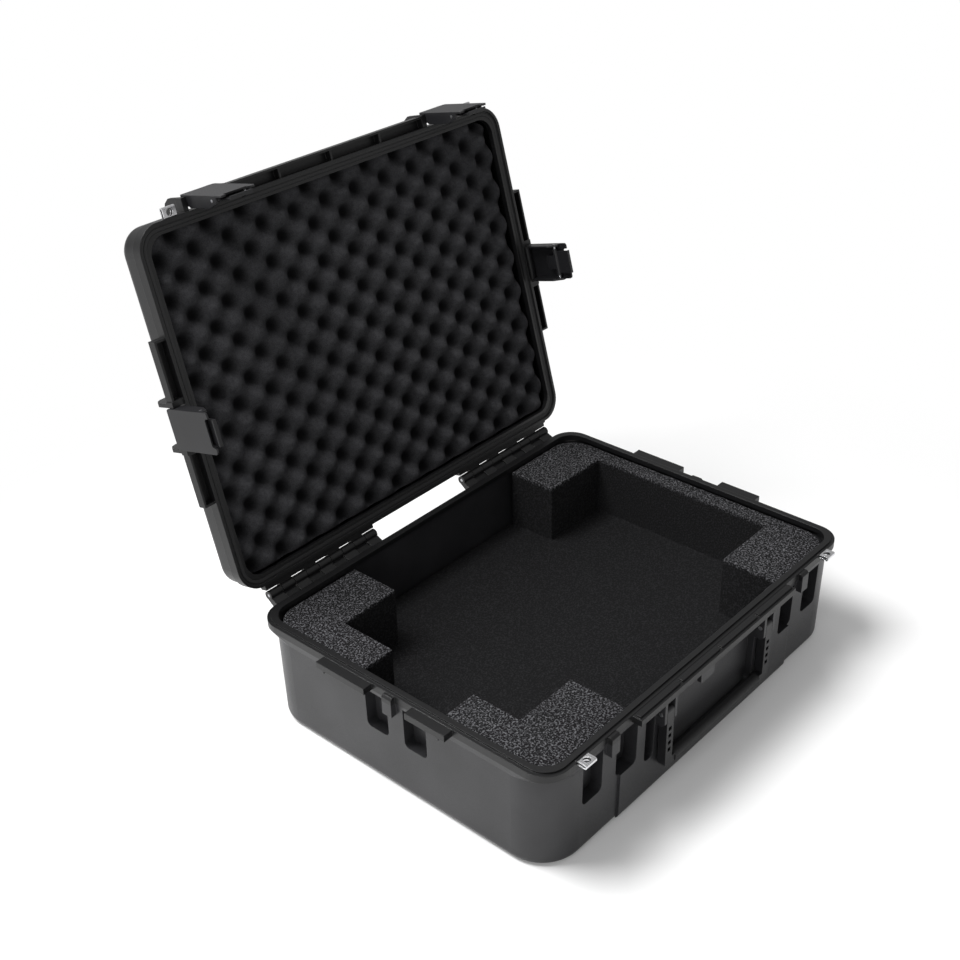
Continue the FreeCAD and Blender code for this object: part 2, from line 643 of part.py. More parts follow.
def latch_lug(side):
    """Lug with a guard fin beside a latch; side is -1 or 1."""
    span = sorted((side * LUG_IN, side * LUG_END))
    lug = wall_box(span, (-SKIN_BACK, LUG_OUT), (LID_GAP, LUG_TOP))
    rear = span[0] if side > 0 else span[1] - FIN_THICKNESS
    fin_round = LUG_OUT / 3
    outline = [(-SKIN_BACK, LUG_TOP - CHANNEL_SKIN), (LUG_OUT, LUG_TOP - CHANNEL_SKIN),
               (LUG_OUT, FIN_TOP - fin_round * 2), (LUG_OUT - fin_round, FIN_TOP - fin_round / 2),
               (LUG_OUT - fin_round * 2, FIN_TOP), (-SKIN_BACK, FIN_TOP)]
    fin = side_profile(outline, rear, rear + FIN_THICKNESS)
    return lug.fuse(fin)


def latch_bore():
    half = LUG_END - LATCH_PIN_RECESS
    return rod(LATCH_PIN_RADIUS, Vector(-half, -LATCH_PIVOT_OUT, LATCH_PIVOT_RISE), half * 2, AXIS_X)


def lid_knuckles():
    """Knuckles of the right group, their arms and the stop heels."""
    root = -HINGE_BACK - SKIN_BACK
    low = LID_ROOT_LOW - HINGE_RISE
    high = LID_ROOT_HIGH - HINGE_RISE
    arm = [(root, low), (0, 0), (KNUCKLE_RADIUS / 3, KNUCKLE_RADIUS * 3 / 4), (root, high)]
    reach = HINGE_BACK - STOP_CLEARANCE
    heel = [(0, -KNUCKLE_RADIUS / 2), (-reach, -STOP_HIGH), (-reach, -STOP_LOW), (0, -KNUCKLE_RADIUS)]
    closed_heel = [swung(point, (0, 0), LID_OPEN_ANGLE) for point in heel]
    pieces = []
    for index in range(1, HINGE_KNUCKLES, 2):
        span = knuckle_span(index)
        pieces += [hinge_prism(arm, span), hinge_prism(closed_heel, span), knuckle(span)]
    return pieces


def hinge_apron():
    """Web behind the lid's knuckles that closes the gap to its wall."""
    return block((HINGE_START, HINGE_START + HINGE_PITCH * HINGE_KNUCKLES),
                 (HALF_WIDTH - SKIN_BACK, HINGE_Y - KNUCKLE_RADIUS - APRON_CLEARANCE),
                 (BASE_HEIGHT + LID_ROOT_LOW, BASE_HEIGHT + LUG_TOP))


def back_ledge():
    """Low ledge along the lid's hinge side."""
    half = HALF_LENGTH - CORNER_RADIUS
    return block((-half, half), (HALF_WIDTH - SKIN_BACK, HALF_WIDTH + BACK_LEDGE),
                 (BASE_HEIGHT + LID_GAP, BASE_HEIGHT + LUG_TOP))


def lid_shell():
    outer, inner = gasket_edges()
    lip = lid_ring(0, LID_LIP_WIDTH, LID_GAP - LID_LIP_DEPTH, LID_GAP + LID_LIP_DEPTH)
    groove = lid_ring(outer, inner, LID_GAP - OVERRUN, GASKET_CLEARANCE + GASKET_HEIGHT)
    lug = eye_lug()
    lug.translate(Vector(0, 0, EYE_GAP + EYE_THICKNESS))
    lugs = [latch_lug(-1), latch_lug(1)]
    right = [at_front(piece, FRONT_STATION) for piece in lugs]
    right += [at_right(piece, SIDE_STATION) for piece in lugs]
    right += [at_right(channel(-SIDE_CHANNEL_FRONT, SIDE_STATION - LUG_END + OVERRUN, [])),
              at_right(channel(SIDE_STATION + LUG_END - OVERRUN, SIDE_CHANNEL_BACK, []))]
    right += [at_front(lug, EYE_PLACE), hinge_apron()]
    right += lid_knuckles()
    half = FRONT_STATION - LUG_END + OVERRUN
    ribs = [-CHANNEL_RIB_PITCH, 0, CHANNEL_RIB_PITCH]
    middle = [at_front(channel(-half, half, ribs)), back_ledge()]
    holes = [at_front(latch_bore(), FRONT_STATION), at_right(latch_bore(), SIDE_STATION),
             at_front(eye_hole(EYE_THICKNESS + OVERRUN, EYE_THICKNESS + OVERRUN * 2), EYE_PLACE),
             hinge_bore()]
    shell = lid_dish().fuse(lip).cut(groove)
    shell = shell.multiFuse(both_sides(right) + middle)
    return shell.cut(Part.makeCompound(both_sides(holes)))


def lid_gasket():
    outer, inner = gasket_edges()
    return lid_ring(outer + GASKET_SIDE_GAP, inner - GASKET_SIDE_GAP, GASKET_CLEARANCE,
                    GASKET_CLEARANCE + GASKET_HEIGHT)


def hinge_pin():
    length = HINGE_PITCH * HINGE_KNUCKLES - HINGE_PIN_RECESS * 2
    return rod(HINGE_PIN_RADIUS, Vector(HINGE_START + HINGE_PIN_RECESS, HINGE_Y, HINGE_Z),
               length, AXIS_X)


# Padlock plates

def eye_plate():
    """Steel strip bent round a lug: upper leaf, nose and lower leaf, upper face at z = 0."""
    half = EYE_PLATE_WIDTH / 2
    outside = EYE_LUG_OUT + EYE_PLATE
    thickness = EYE_LUG_THICKNESS + EYE_PLATE * 2
    body = wall_box((-half, half), (EYE_PLATE_BACK, outside), (-thickness, 0))
    nose = [edge for edge in body.Edges
            if all(abs(vertex.Point.y + outside) < EYE_GAP / 2 for vertex in edge.Vertexes)
            and abs(edge.Vertexes[0].Point.z - edge.Vertexes[1].Point.z) < EYE_GAP / 2]
    body = body.makeFillet(EYE_BEND_RADIUS, nose)
    core = wall_box((-half - OVERRUN, half + OVERRUN), (-OVERRUN, EYE_LUG_OUT),
                    (-EYE_PLATE - EYE_LUG_THICKNESS, -EYE_PLATE))
    return body.cut(core).cut(eye_hole(OVERRUN, thickness + OVERRUN * 2))


# Latches, drawn at a front station on the closed lid

def latch_body():
    half = LATCH_HALF
    inside = LATCH_OUT - LATCH_PLATE
    plate = wall_box((-half, half), (inside, LATCH_OUT), (-LATCH_HORN, LATCH_TOP))
    round_edges = [edge for edge in plate.Edges
                   if abs(edge.Vertexes[0].Point.y - edge.Vertexes[1].Point.y) > LATCH_PLATE / 2]
    plate = plate.makeFillet(LATCH_CORNER, round_edges)
    slot_half = LATCH_SLOT / 2
    slot = wall_box((-slot_half, slot_half), (inside - OVERRUN, LATCH_OUT + OVERRUN),
                    (-LATCH_HORN - OVERRUN, -LATCH_EDGE))
    upper = [edge for edge in slot.Edges
             if all(abs(vertex.Point.z + LATCH_EDGE) < EDGE_TOLERANCE for vertex in edge.Vertexes)
             and abs(edge.Vertexes[0].Point.x - edge.Vertexes[1].Point.x) < EDGE_TOLERANCE]
    slot = slot.makeFillet(LATCH_CORNER, upper)
    barrel = rod(LATCH_BARREL_RADIUS, Vector(-half, -LATCH_PIVOT_OUT, LATCH_PIVOT_RISE),
                 LATCH_WIDTH, AXIS_X)
    bridge = wall_box((-half, half), (LATCH_PIVOT_OUT, inside + LATCH_PLATE / 2),
                      (LATCH_PIVOT_RISE - LATCH_BARREL_RADIUS / 2,
                       LATCH_PIVOT_RISE + LATCH_BARREL_RADIUS / 2))
    outline = [(inside + LATCH_PLATE / 2, LATCH_PIVOT_RISE + LATCH_BARREL_RADIUS / 2),
               (LATCH_PIVOT_OUT, LATCH_PIVOT_RISE),
               (CHEEK_BACK, -CHEEK_BACK), (CHEEK_BACK, -CHEEK_STRAIGHT),
               (CHEEK_TIP_BACK, -CHEEK_END), (inside + LATCH_PLATE / 2, -CHEEK_END)]
    cheeks = [side_profile(outline, -half, -half + LATCH_CHEEK),
              side_profile(outline, half - LATCH_CHEEK, half)]
    body = plate.cut(slot).multiFuse([barrel, bridge] + cheeks)
    hinge = rod(LATCH_PIN_RADIUS + LATCH_PIN_CLEARANCE,
                Vector(-half - OVERRUN, -LATCH_PIVOT_OUT, LATCH_PIVOT_RISE),
                LATCH_WIDTH + OVERRUN * 2, AXIS_X)
    cross = rod(TRIGGER_PIN_RADIUS,
                Vector(-half - OVERRUN, -TRIGGER_PIVOT_OUT, -TRIGGER_PIVOT_DROP),
                LATCH_WIDTH + OVERRUN * 2, AXIS_X)
    return body.cut(hinge).cut(cross)


def trigger():
    """Lever on the latch: tooth above its pivot, finger pad with a lip below."""
    hinge = (LATCH_PIVOT_OUT, LATCH_PIVOT_RISE)
    seat = -KEEPER_LEDGE - TOOTH_CLEARANCE
    tip = swung((KEEPER_OUT - TOOTH_BITE, seat), hinge, LATCH_SEAT_ANGLE)
    edge = swung((KEEPER_OUT, seat), hinge, LATCH_SEAT_ANGLE)
    outside = tip[0] + TOOTH_THICKNESS
    tooth = side_profile([tip, (outside, edge[1]), (outside, -TRIGGER_PIVOT_DROP),
                          (tip[0], -TRIGGER_PIVOT_DROP)], -TOOTH_WIDTH / 2, TOOTH_WIDTH / 2)
    half = TRIGGER_WIDTH / 2
    pad = wall_box((-half, half), (TRIGGER_PAD_BACK, TRIGGER_PAD_BACK + TRIGGER_PAD_THICKNESS),
                   (-TRIGGER_LIP_BOTTOM, -TRIGGER_PIVOT_DROP))
    lip = wall_box((-half, half), (TRIGGER_PAD_BACK, TRIGGER_PAD_BACK + TRIGGER_LIP_DEPTH),
                   (-TRIGGER_LIP_BOTTOM, -TRIGGER_LIP_TOP))
    lip_edges = [item for item in lip.Edges
                 if abs(item.Vertexes[0].Point.x - item.Vertexes[1].Point.x) > half]
    lip = lip.makeFillet((TRIGGER_LIP_BOTTOM - TRIGGER_LIP_TOP) / 4, lip_edges)
    barrel = rod(TRIGGER_BARREL_RADIUS,
                 Vector(-TRIGGER_BARREL_LENGTH / 2, -TRIGGER_PIVOT_OUT, -TRIGGER_PIVOT_DROP),
                 TRIGGER_BARREL_LENGTH, AXIS_X)
    bore = rod(TRIGGER_PIN_RADIUS + TRIGGER_PIN_CLEARANCE,
               Vector(-LATCH_HALF, -TRIGGER_PIVOT_OUT, -TRIGGER_PIVOT_DROP), LATCH_WIDTH, AXIS_X)
    return barrel.multiFuse([tooth, pad, lip]).cut(bore)


def latch_pin():
    half = LUG_END - LATCH_PIN_RECESS
    return rod(LATCH_PIN_RADIUS, Vector(-half, -LATCH_PIVOT_OUT, LATCH_PIVOT_RISE), half * 2, AXIS_X)


def trigger_pin():
    return rod(TRIGGER_PIN_RADIUS, Vector(-LATCH_HALF, -TRIGGER_PIVOT_OUT, -TRIGGER_PIVOT_DROP),
               LATCH_WIDTH, AXIS_X)


def arc_from(start, corner, end):
    """Round arc that leaves start and reaches end along the lines to their corner."""
    chord = (start + end) * 0.5
    weight = start.distanceToPoint(end) / 2 / start.distanceToPoint(corner)
    middle = (chord + corner * weight) * (1 / (1 + weight))
    return Part.Arc(start, middle, end).toShape()


def smooth_pair(start, start_way, end, end_way):
    """Two arcs that join two points along their given ways."""
    gap = end - start
    ways = start_way + end_way
    a = ways.dot(ways) - 4
    b = -2 * gap.dot(ways)
    c = gap.dot(gap)
    reach = (-b - math.sqrt(b * b - 4 * a * c)) / (2 * a)
    first = start + start_way * reach
    second = end - end_way * reach
    meeting = (first + second) * 0.5
    return [arc_from(start, first, meeting), arc_from(meeting, second, end)]


def least_coil_gap(path):
    """Least distance between the wire's surface on one turn and on the next."""
    points = path.discretize(SPRING_QUARTERS * SPRING_SAMPLES + 1)
    half_turn = SPRING_SAMPLES * 2
    spans = [points[index].distanceToPoint(other)
             for index in range(len(points)) for other in points[index + half_turn:]]
    return min(spans) - SPRING_WIRE


def trigger_spring():
    """Torsion coil round the trigger's pin."""
    start_x = TRIGGER_BARREL_LENGTH / 2 + SPRING_WIRE / 2 + SPRING_END_GAP + SPRING_PITCH / 4

    def coil_point(quarter):
        angle = math.pi / 2 * quarter
        return Vector(start_x + SPRING_PITCH * quarter / 4,
                      -TRIGGER_PIVOT_OUT - SPRING_RADIUS * math.sin(angle),
                      -TRIGGER_PIVOT_DROP + SPRING_RADIUS * math.cos(angle))

    def coil_way(quarter):
        angle = math.pi / 2 * quarter
        turn = Vector(SPRING_PITCH / (math.pi * 2), -SPRING_RADIUS * math.cos(angle),
                      -SPRING_RADIUS * math.sin(angle))
        return turn.normalize()

    edges = []
    first = -1
    last = first + SPRING_QUARTERS
    end = coil_point(first)
    for quarter in range(first, last):
        edges += smooth_pair(coil_point(quarter), coil_way(quarter),
                             coil_point(quarter + 1), coil_way(quarter + 1))
    path = Part.Wire(edges)
    print("trigger_spring least gap to itself", round(least_coil_gap(path), 3))
    ring = Part.Wire(Part.Circle(end, coil_way(first), SPRING_WIRE / 2).toShape())
    return path.makePipeShell([ring], True, False)


# Handle

def handle_frame():
    """Two arms with ladder slots and the core of the bar."""
    outer = HANDLE_ARM_PLACE + HANDLE_ARM_WIDTH / 2
    inner = HANDLE_ARM_PLACE - HANDLE_ARM_WIDTH / 2
    front = HANDLE_BACK + HANDLE_DEPTH
    pivot_out = HANDLE_BACK + HANDLE_DEPTH / 2
    body = wall_box((-outer, outer), (HANDLE_BACK, front), (-HANDLE_BOTTOM, -HANDLE_PIVOT_DROP))
    corners = [edge for edge in body.Edges
               if all(abs(vertex.Point.z + HANDLE_BOTTOM) < EDGE_TOLERANCE for vertex in edge.Vertexes)
               and abs(edge.Vertexes[0].Point.x - edge.Vertexes[1].Point.x) < EDGE_TOLERANCE]
    body = body.makeFillet(HANDLE_CORNER, corners)
    window = wall_box((-inner, inner), (HANDLE_BACK - OVERRUN, front + OVERRUN),
                      (-HANDLE_BOTTOM + HANDLE_BAR_HEIGHT, -HANDLE_PIVOT_DROP + OVERRUN))
    shoulder = inner - HANDLE_SHOULDER
    waist = wall_box((-shoulder, shoulder), (HANDLE_BACK - OVERRUN, front + OVERRUN),
                     (-HANDLE_BOTTOM - OVERRUN, -HANDLE_BOTTOM + HANDLE_BAR_HEIGHT + OVERRUN))
    core = wall_box((-inner, inner), (HANDLE_BACK + HANDLE_CORE_INSET, front - HANDLE_CORE_INSET),
                    (-HANDLE_BOTTOM + HANDLE_CORE_INSET,
                     -HANDLE_BOTTOM + HANDLE_BAR_HEIGHT - HANDLE_CORE_INSET))
    frame = body.cut(window).cut(waist).fuse(core)
    for side in (-1, 1):
        start = side * HANDLE_ARM_PLACE - HANDLE_ARM_WIDTH / 2
        head = rod(HANDLE_DEPTH / 2, Vector(start, -pivot_out, -HANDLE_PIVOT_DROP),
                   HANDLE_ARM_WIDTH, AXIS_X)
        frame = frame.fuse(head)
    tools = []
    for side in (-1, 1):
        middle = side * HANDLE_ARM_PLACE
        tools.append(rod(HANDLE_PIN_RADIUS + HANDLE_PIN_CLEARANCE,
                         Vector(middle - HANDLE_ARM_WIDTH, -pivot_out, -HANDLE_PIVOT_DROP),
                         HANDLE_ARM_WIDTH * 2, AXIS_X))
        for index in range(HANDLE_SLOTS):
            level = -HANDLE_PIVOT_DROP - HANDLE_SLOT_START - HANDLE_SLOT_PITCH * index
            tools.append(wall_box((middle - HANDLE_SLOT_WIDTH / 2, middle + HANDLE_SLOT_WIDTH / 2),
                                  (HANDLE_BACK - OVERRUN, front + OVERRUN),
                                  (level - HANDLE_SLOT_HEIGHT / 2, level + HANDLE_SLOT_HEIGHT / 2)))
    return frame.cut(Part.makeCompound(tools))


def handle_grip():
    """Soft sleeve moulded over the core of the bar."""
    half = HANDLE_ARM_PLACE - HANDLE_ARM_WIDTH / 2 - HANDLE_SHOULDER
    front = HANDLE_BACK + HANDLE_DEPTH
    sleeve = wall_box((-half, half), (HANDLE_BACK - GRIP_SWELL, front + GRIP_SWELL),
                      (-HANDLE_BOTTOM, -HANDLE_BOTTOM + HANDLE_BAR_HEIGHT))
    long_edges = [edge for edge in sleeve.Edges
                  if abs(edge.Vertexes[0].Point.x - edge.Vertexes[1].Point.x) > half]
    sleeve = sleeve.makeFillet(GRIP_ROUND, long_edges)
    core = wall_box((-half - OVERRUN, half + OVERRUN),
                    (HANDLE_BACK + HANDLE_CORE_INSET, front - HANDLE_CORE_INSET),
                    (-HANDLE_BOTTOM + HANDLE_CORE_INSET,
                     -HANDLE_BOTTOM + HANDLE_BAR_HEIGHT - HANDLE_CORE_INSET))
    return sleeve.cut(core)


def handle_pin():
    inner, outer = handle_bracket_places()
    pivot_out = HANDLE_BACK + HANDLE_DEPTH / 2
    return rod(HANDLE_PIN_RADIUS, Vector(inner, -pivot_out, -HANDLE_PIVOT_DROP),
               outer + BRACKET_WIDTH - inner, AXIS_X)


# Foam

def foam_outline(low, high):
    """Prism that fills the base's opening, clear of the shell."""
    return rounded_prism(OPENING_LENGTH / 2 - FOAM_GAP, OPENING_WIDTH / 2 - FOAM_GAP,
                         FOAM_CORNER, low, high)


def foam_floor():
    slab = foam_outline(FLOOR + FOAM_GAP, BASE_HEIGHT - RECESS_DEPTH)
    return fillet_level(slab, FLOOR + FOAM_GAP, FOAM_BOTTOM_RADIUS)


def foam_block(x, y):
    low = BASE_HEIGHT - RECESS_DEPTH
    high = BASE_HEIGHT - FOAM_TOP
    rooms = Part.makeCompound(both_sides(each_pocket(pocket_room)))
    return foam_outline(low, high).common(block(x, y, (low, high))).cut(rooms)


def foam_blocks():
    """Blocks and rails round the recess, by name."""
    left = -HALF_LENGTH
    right = HALF_LENGTH
    front = -HALF_WIDTH
    back = HALF_WIDTH
    spans = {"foam_front_left": ((left, FRONT_WELL[0]), (front, RECESS_Y[0])),
             "foam_left_front_rail": ((left, RECESS_X[0]), (RECESS_Y[0], LEFT_WELL[0])),
             "foam_left_back_rail": ((left, RECESS_X[0]), (LEFT_WELL[1], RECESS_Y[1])),
             "foam_back_left": ((left, BACK_WELL[0]), (RECESS_Y[1], back)),
             "foam_back_right": ((BACK_WELL[1], right), (RECESS_Y[1], back)),
             "foam_right_rail": ((RECESS_X[1], right), RECESS_Y),
             "foam_front_right": ((FRONT_WELL[1], right), (front, RECESS_Y[0]))}
    return {name: foam_block(x, y) for name, (x, y) in spans.items()}


def lid_foam():
    """Slab with staggered blunt cones that face the base, drawn closed."""
    inset = LID_RIM_WIDTH + FOAM_GAP
    half_x = HALF_LENGTH - inset
    half_y = HALF_WIDTH - inset
    corner = OPENING_CORNER + RIM_WIDTH - inset
    peaks = BASE_HEIGHT + PEAK_GAP
    valley = peaks + PEAK_HEIGHT
    back = BASE_HEIGHT + LID_DEPTH - WALL - FOAM_GAP
    slab = rounded_prism(half_x, half_y, corner, valley, back)
    edge = rounded_prism(half_x, half_y, corner, peaks, valley + PEAK_SINK)
    cones = []
    columns = int(half_x / PEAK_PITCH_X * 2) + 2
    rows = int(half_y / PEAK_PITCH_Y * 2) + 2
    for column in range(-columns, columns + 1):
        for row in range(-rows, rows + 1):
            if (column + row) % 2:
                continue
            x = PEAK_SHIFT_X + PEAK_PITCH_X / 2 * column
            y = PEAK_SHIFT_Y + PEAK_PITCH_Y / 2 * row
            if abs(x) > half_x + PEAK_TOP_RADIUS or abs(y) > half_y + PEAK_TOP_RADIUS:
                continue
            cones.append(Part.makeCone(PEAK_TOP_RADIUS, PEAK_BASE_RADIUS,
                                       PEAK_HEIGHT + PEAK_SINK, Vector(x, y, peaks)))
    trimmed = Part.makeCompound(cones).common(edge)
    return slab.multiFuse(trimmed.Solids)


# Nodes

def drooped(shape):
    """A front latch's piece swung in from upright to where it hangs free."""
    moved = shape.copy()
    moved.rotate(Vector(0, -LATCH_PIVOT_OUT, LATCH_PIVOT_RISE), AXIS_X, FRONT_LATCH_DROOP)
    return moved


LATCH_STATIONS = {"front_left": lambda shape: at_front(drooped(shape), -FRONT_STATION),
                  "front_right": lambda shape: at_front(drooped(shape), FRONT_STATION),
                  "side_left": lambda shape: at_left(shape, SIDE_STATION),
                  "side_right": lambda shape: at_right(shape, SIDE_STATION)}


def latch_nodes():
    parts = {"body": latch_body(), "hinge_pin": latch_pin(), "trigger": trigger(),
             "trigger_pin": trigger_pin(), "trigger_spring": trigger_spring()}
    return {f"latch_{station}_{name}": opened(place(shape))
            for station, place in LATCH_STATIONS.items() for name, shape in parts.items()}


def padlock_nodes():
    plate = eye_plate()
    low = plate.copy()
    low.translate(Vector(0, 0, -EYE_GAP))
    high = plate.copy()
    high.translate(Vector(0, 0, EYE_GAP + EYE_LUG_THICKNESS + EYE_PLATE * 2))
    base = at_front(low, EYE_PLACE)
    lid = at_front(high, EYE_PLACE)
    return {"padlock_plate_base_right": base, "padlock_plate_base_left": mirrored(base),
            "padlock_plate_lid_right": opened(lid), "padlock_plate_lid_left": opened(mirrored(lid))}


def all_nodes():
    pin = at_front(handle_pin())
    nodes = {"base_shell": base_shell(), "lid_shell": opened(lid_shell()),
             "lid_gasket": opened(lid_gasket()), "lid_foam": opened(lid_foam()),
             "hinge_pin_right": hinge_pin(), "hinge_pin_left": mirrored(hinge_pin()),
             "handle_frame": at_front(handle_frame()), "handle_grip": at_front(handle_grip()),
             "handle_pin_right": pin, "handle_pin_left": mirrored(pin), "foam_floor": foam_floor()}
    nodes.update(foam_blocks())
    nodes.update(padlock_nodes())
    nodes.update(latch_nodes())
    return nodes


def main():
    os.makedirs("parts", exist_ok=True)
    for name, shape in all_nodes().items():
        shape.exportStep(f"parts/{name}.step")
        print(name, len(shape.Solids), shape.isValid(), round(shape.Volume))


main()
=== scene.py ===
"""Guitar pedal case: finishes, foam inserts and studio for a moulded case with its lid open.

Metres. X runs along the hinge, -Y is the front, +Z is up. The origin is the centre of the
underside. Pieces on the lid are shaped with the lid closed, then swung open with it.
"""
import json
import math

import bmesh
import bpy
from mathutils import Matrix, Vector


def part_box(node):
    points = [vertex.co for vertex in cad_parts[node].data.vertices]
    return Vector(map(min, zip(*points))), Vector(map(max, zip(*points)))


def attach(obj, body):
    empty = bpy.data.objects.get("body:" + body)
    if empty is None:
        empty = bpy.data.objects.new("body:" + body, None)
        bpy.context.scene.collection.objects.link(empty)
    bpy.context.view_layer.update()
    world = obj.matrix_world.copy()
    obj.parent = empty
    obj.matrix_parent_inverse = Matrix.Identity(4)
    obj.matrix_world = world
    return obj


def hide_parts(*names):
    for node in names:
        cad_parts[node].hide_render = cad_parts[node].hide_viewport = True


bl_info = {
    "name": "Guitar Pedal Case",
    "version": (1, 0, 0),
    "blender": (4, 5, 0),
    "location": "3D View > Sidebar > Pedal Case",
    "description": "Finishes, foam inserts and studio for a moulded guitar pedal case",
    "category": "Object",
}

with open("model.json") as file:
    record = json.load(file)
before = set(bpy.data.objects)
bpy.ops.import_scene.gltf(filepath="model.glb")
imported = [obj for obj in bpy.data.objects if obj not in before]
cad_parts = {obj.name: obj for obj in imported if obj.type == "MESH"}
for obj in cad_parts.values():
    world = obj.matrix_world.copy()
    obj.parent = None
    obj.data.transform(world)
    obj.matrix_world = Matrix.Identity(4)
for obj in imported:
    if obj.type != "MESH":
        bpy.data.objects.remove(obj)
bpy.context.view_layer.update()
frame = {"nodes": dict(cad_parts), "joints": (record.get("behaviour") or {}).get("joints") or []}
MM = 0.001
TOLERANCE = 0.01 * MM           # two places this close are the same

BASE_BODY = "base"
LID_BODY = "lid"
CRADLE_NODES = ("foam_floor", "foam_front_left", "foam_left_front_rail", "foam_left_back_rail",
                "foam_back_left", "foam_back_right", "foam_right_rail", "foam_front_right")
LID_FOAM_NODE = "lid_foam"


def linear(code):
    """sRGB hex to linear red, green, blue and alpha."""
    channels = [int(code[start:start + 2], 16) / 255 for start in (1, 3, 5)]
    return [value / 12.92 if value <= 0.04045 else ((value + 0.055) / 1.055) ** 2.4
            for value in channels] + [1.0]


def colour(name, description, code):
    return bpy.props.FloatVectorProperty(name=name, description=description, subtype="COLOR",
                                         size=4, min=0, max=1, default=linear(code))


def length(name, description, millimetres):
    return bpy.props.FloatProperty(name=name, description=description, unit="LENGTH",
                                   precision=4, default=millimetres * MM)


def share(name, description, value, highest=1.0):
    return bpy.props.FloatProperty(name=name, description=description, min=0, max=highest,
                                   default=value)


# Settings

class ShellSettings(bpy.types.PropertyGroup):
    plastic: colour("Shell plastic", "Black polypropylene of the tub and lid", "#222224")
    plastic_pale: colour("Shell plastic, pale", "Where the texture catches dust", "#2b2b2d")
    # Painted shade: the rims and everything above them, the open lid too, take this darker black,
    # since their top faces read darker under the lights.
    rim_shade: colour("Rim shade", "Painted shade: darker black on the rims and all above them", "#0d0d0e")
    rim_shade_foot: length("Foot of the rim shade", "Height above which painted shade darkens the plastic", 149.0)
    grain: length("Moulding texture", "Spacing of the spark-eroded texture", 1.4)
    edge: length("Edge radius", "Radius that moulded edges catch the light with", 1.1)
    roughness: share("Roughness", "Satin of the textured plastic", 0.42)


class LatchSettings(bpy.types.PropertyGroup):
    nylon: colour("Latch nylon", "Black glass-filled nylon of latches and handle", "#141416")
    nylon_pale: colour("Latch nylon, pale", "Flow marks in the nylon", "#1a1a1c")
    grip: colour("Grip", "Soft thermoplastic rubber over the handle bar", "#1d1d1e")
    grain: length("Satin grain", "Spacing of the fine satin on the nylon", 0.9)
    edge: length("Edge radius", "Radius that latch and handle edges catch the light with", 0.8)
    roughness: share("Roughness", "Satin of the nylon", 0.42)


class MetalSettings(bpy.types.PropertyGroup):
    plate: colour("Padlock plate", "Bright stainless strip", "#e4e4e6")
    steel: colour("Pins and springs", "Plain steel rod and wire", "#b9babd")
    edge: length("Plate edge radius", "Radius on the plate's cut edges", 0.4)
    plate_roughness: share("Plate roughness", "Shine of the rolled strip", 0.28)
    steel_roughness: share("Steel roughness", "Shine of the pins and springs", 0.35)


class SealSettings(bpy.types.PropertyGroup):
    rubber: colour("Gasket", "Black rubber cord in the lid's groove", "#1b1b1c")
    grain: length("Rubber grain", "Spacing of the extruded texture", 0.8)
    edge: length("Edge radius", "Radius that the cord catches the light with", 0.3)


class CradleSettings(bpy.types.PropertyGroup):
    dark: colour("Foam, dark", "Hollow cells between the grains", "#111112")
    pale: colour("Foam, pale", "Faces of the grains", "#5c5c5f")
    grain: length("Foam grain", "Width of one grain of the bonded foam", 1.9)
    corner: length("Corner radius", "Upright corners of the foam, inside the tub", 40.0)
    foot: length("Foot radius", "Bottom edge of the foam, inside the tub", 14.0)
    edge: length("Cut edge", "Softness of the cut edges", 1.8)
    # Painted shade: the foam darkens over this depth below its top, so the wells read dark.
    well_shade_depth: length("Well shade", "Depth below the top over which painted shade darkens the wells", 7.0)
    wall_front: length("Front wall", "Outside of the tub's rim from the middle", 254.5)
    wall_side: length("Side wall", "Outside of the tub's rim from the middle", 340.0)
    skin_depth: length("Notch depth", "Notches round the tub's pockets, in from the wall", 24.3)
    skin_near: length("Notch start", "Notches from the middle of a latch", 9.7)
    skin_far: length("Notch end", "Notches from the middle of a latch", 57.3)
    skin_top: length("Notch top", "Top of the notches, from the floor", 147.3)
    front_skin_foot: length("Front notch foot", "Foot of the front notches", 72.7)
    side_skin_foot: length("Side notch foot", "Foot of the side notches", 77.7)
    side_skin_shift: length("Side notch shift", "Side notches along the wall", -3.0)


class LidFoamSettings(bpy.types.PropertyGroup):
    dark: colour("Lid foam, dark", "Open cells of the convoluted foam", "#2e2e30")
    pale: colour("Lid foam, pale", "Cell walls of the convoluted foam", "#3b3b3d")
    pitch_x: length("Pitch along the hinge", "Peak to peak in one row", 58.0)
    pitch_y: length("Pitch across", "Peak to peak in one column", 54.0)
    shift_x: length("Shift along the hinge", "Peak nearest the middle", 14.0)
    shift_y: length("Shift across", "Peak nearest the middle", 10.0)
    depth: length("Wave depth", "Peak to valley", 22.0)
    corner: length("Corner radius", "Upright corners of the lid foam", 25.2)
    cell: length("Mesh step", "Spacing of the points on the waves", 3.0)
    grain: length("Cell size", "Open cells, drawn as coarse as they need to show", 1.3)


class StageSettings(bpy.types.PropertyGroup):
    floor: colour("Floor", "White sweep that the case stands on", "#f2f2f2")
    ambient: share("Ambient", "Strength of the white surroundings on the case", 0.38, 4.0)
    key: bpy.props.FloatProperty(name="Key light", description="Overhead softbox",
                                 unit="POWER", default=96.0)
    side: bpy.props.FloatProperty(name="Side light", description="Softbox on the left",
                                  unit="POWER", default=15.0)


class CaseSettings(bpy.types.PropertyGroup):
    shell: bpy.props.PointerProperty(type=ShellSettings)
    latch: bpy.props.PointerProperty(type=LatchSettings)
    metal: bpy.props.PointerProperty(type=MetalSettings)
    seal: bpy.props.PointerProperty(type=SealSettings)
    cradle: bpy.props.PointerProperty(type=CradleSettings)
    lid_foam: bpy.props.PointerProperty(type=LidFoamSettings)
    stage: bpy.props.PointerProperty(type=StageSettings)


# Node trees

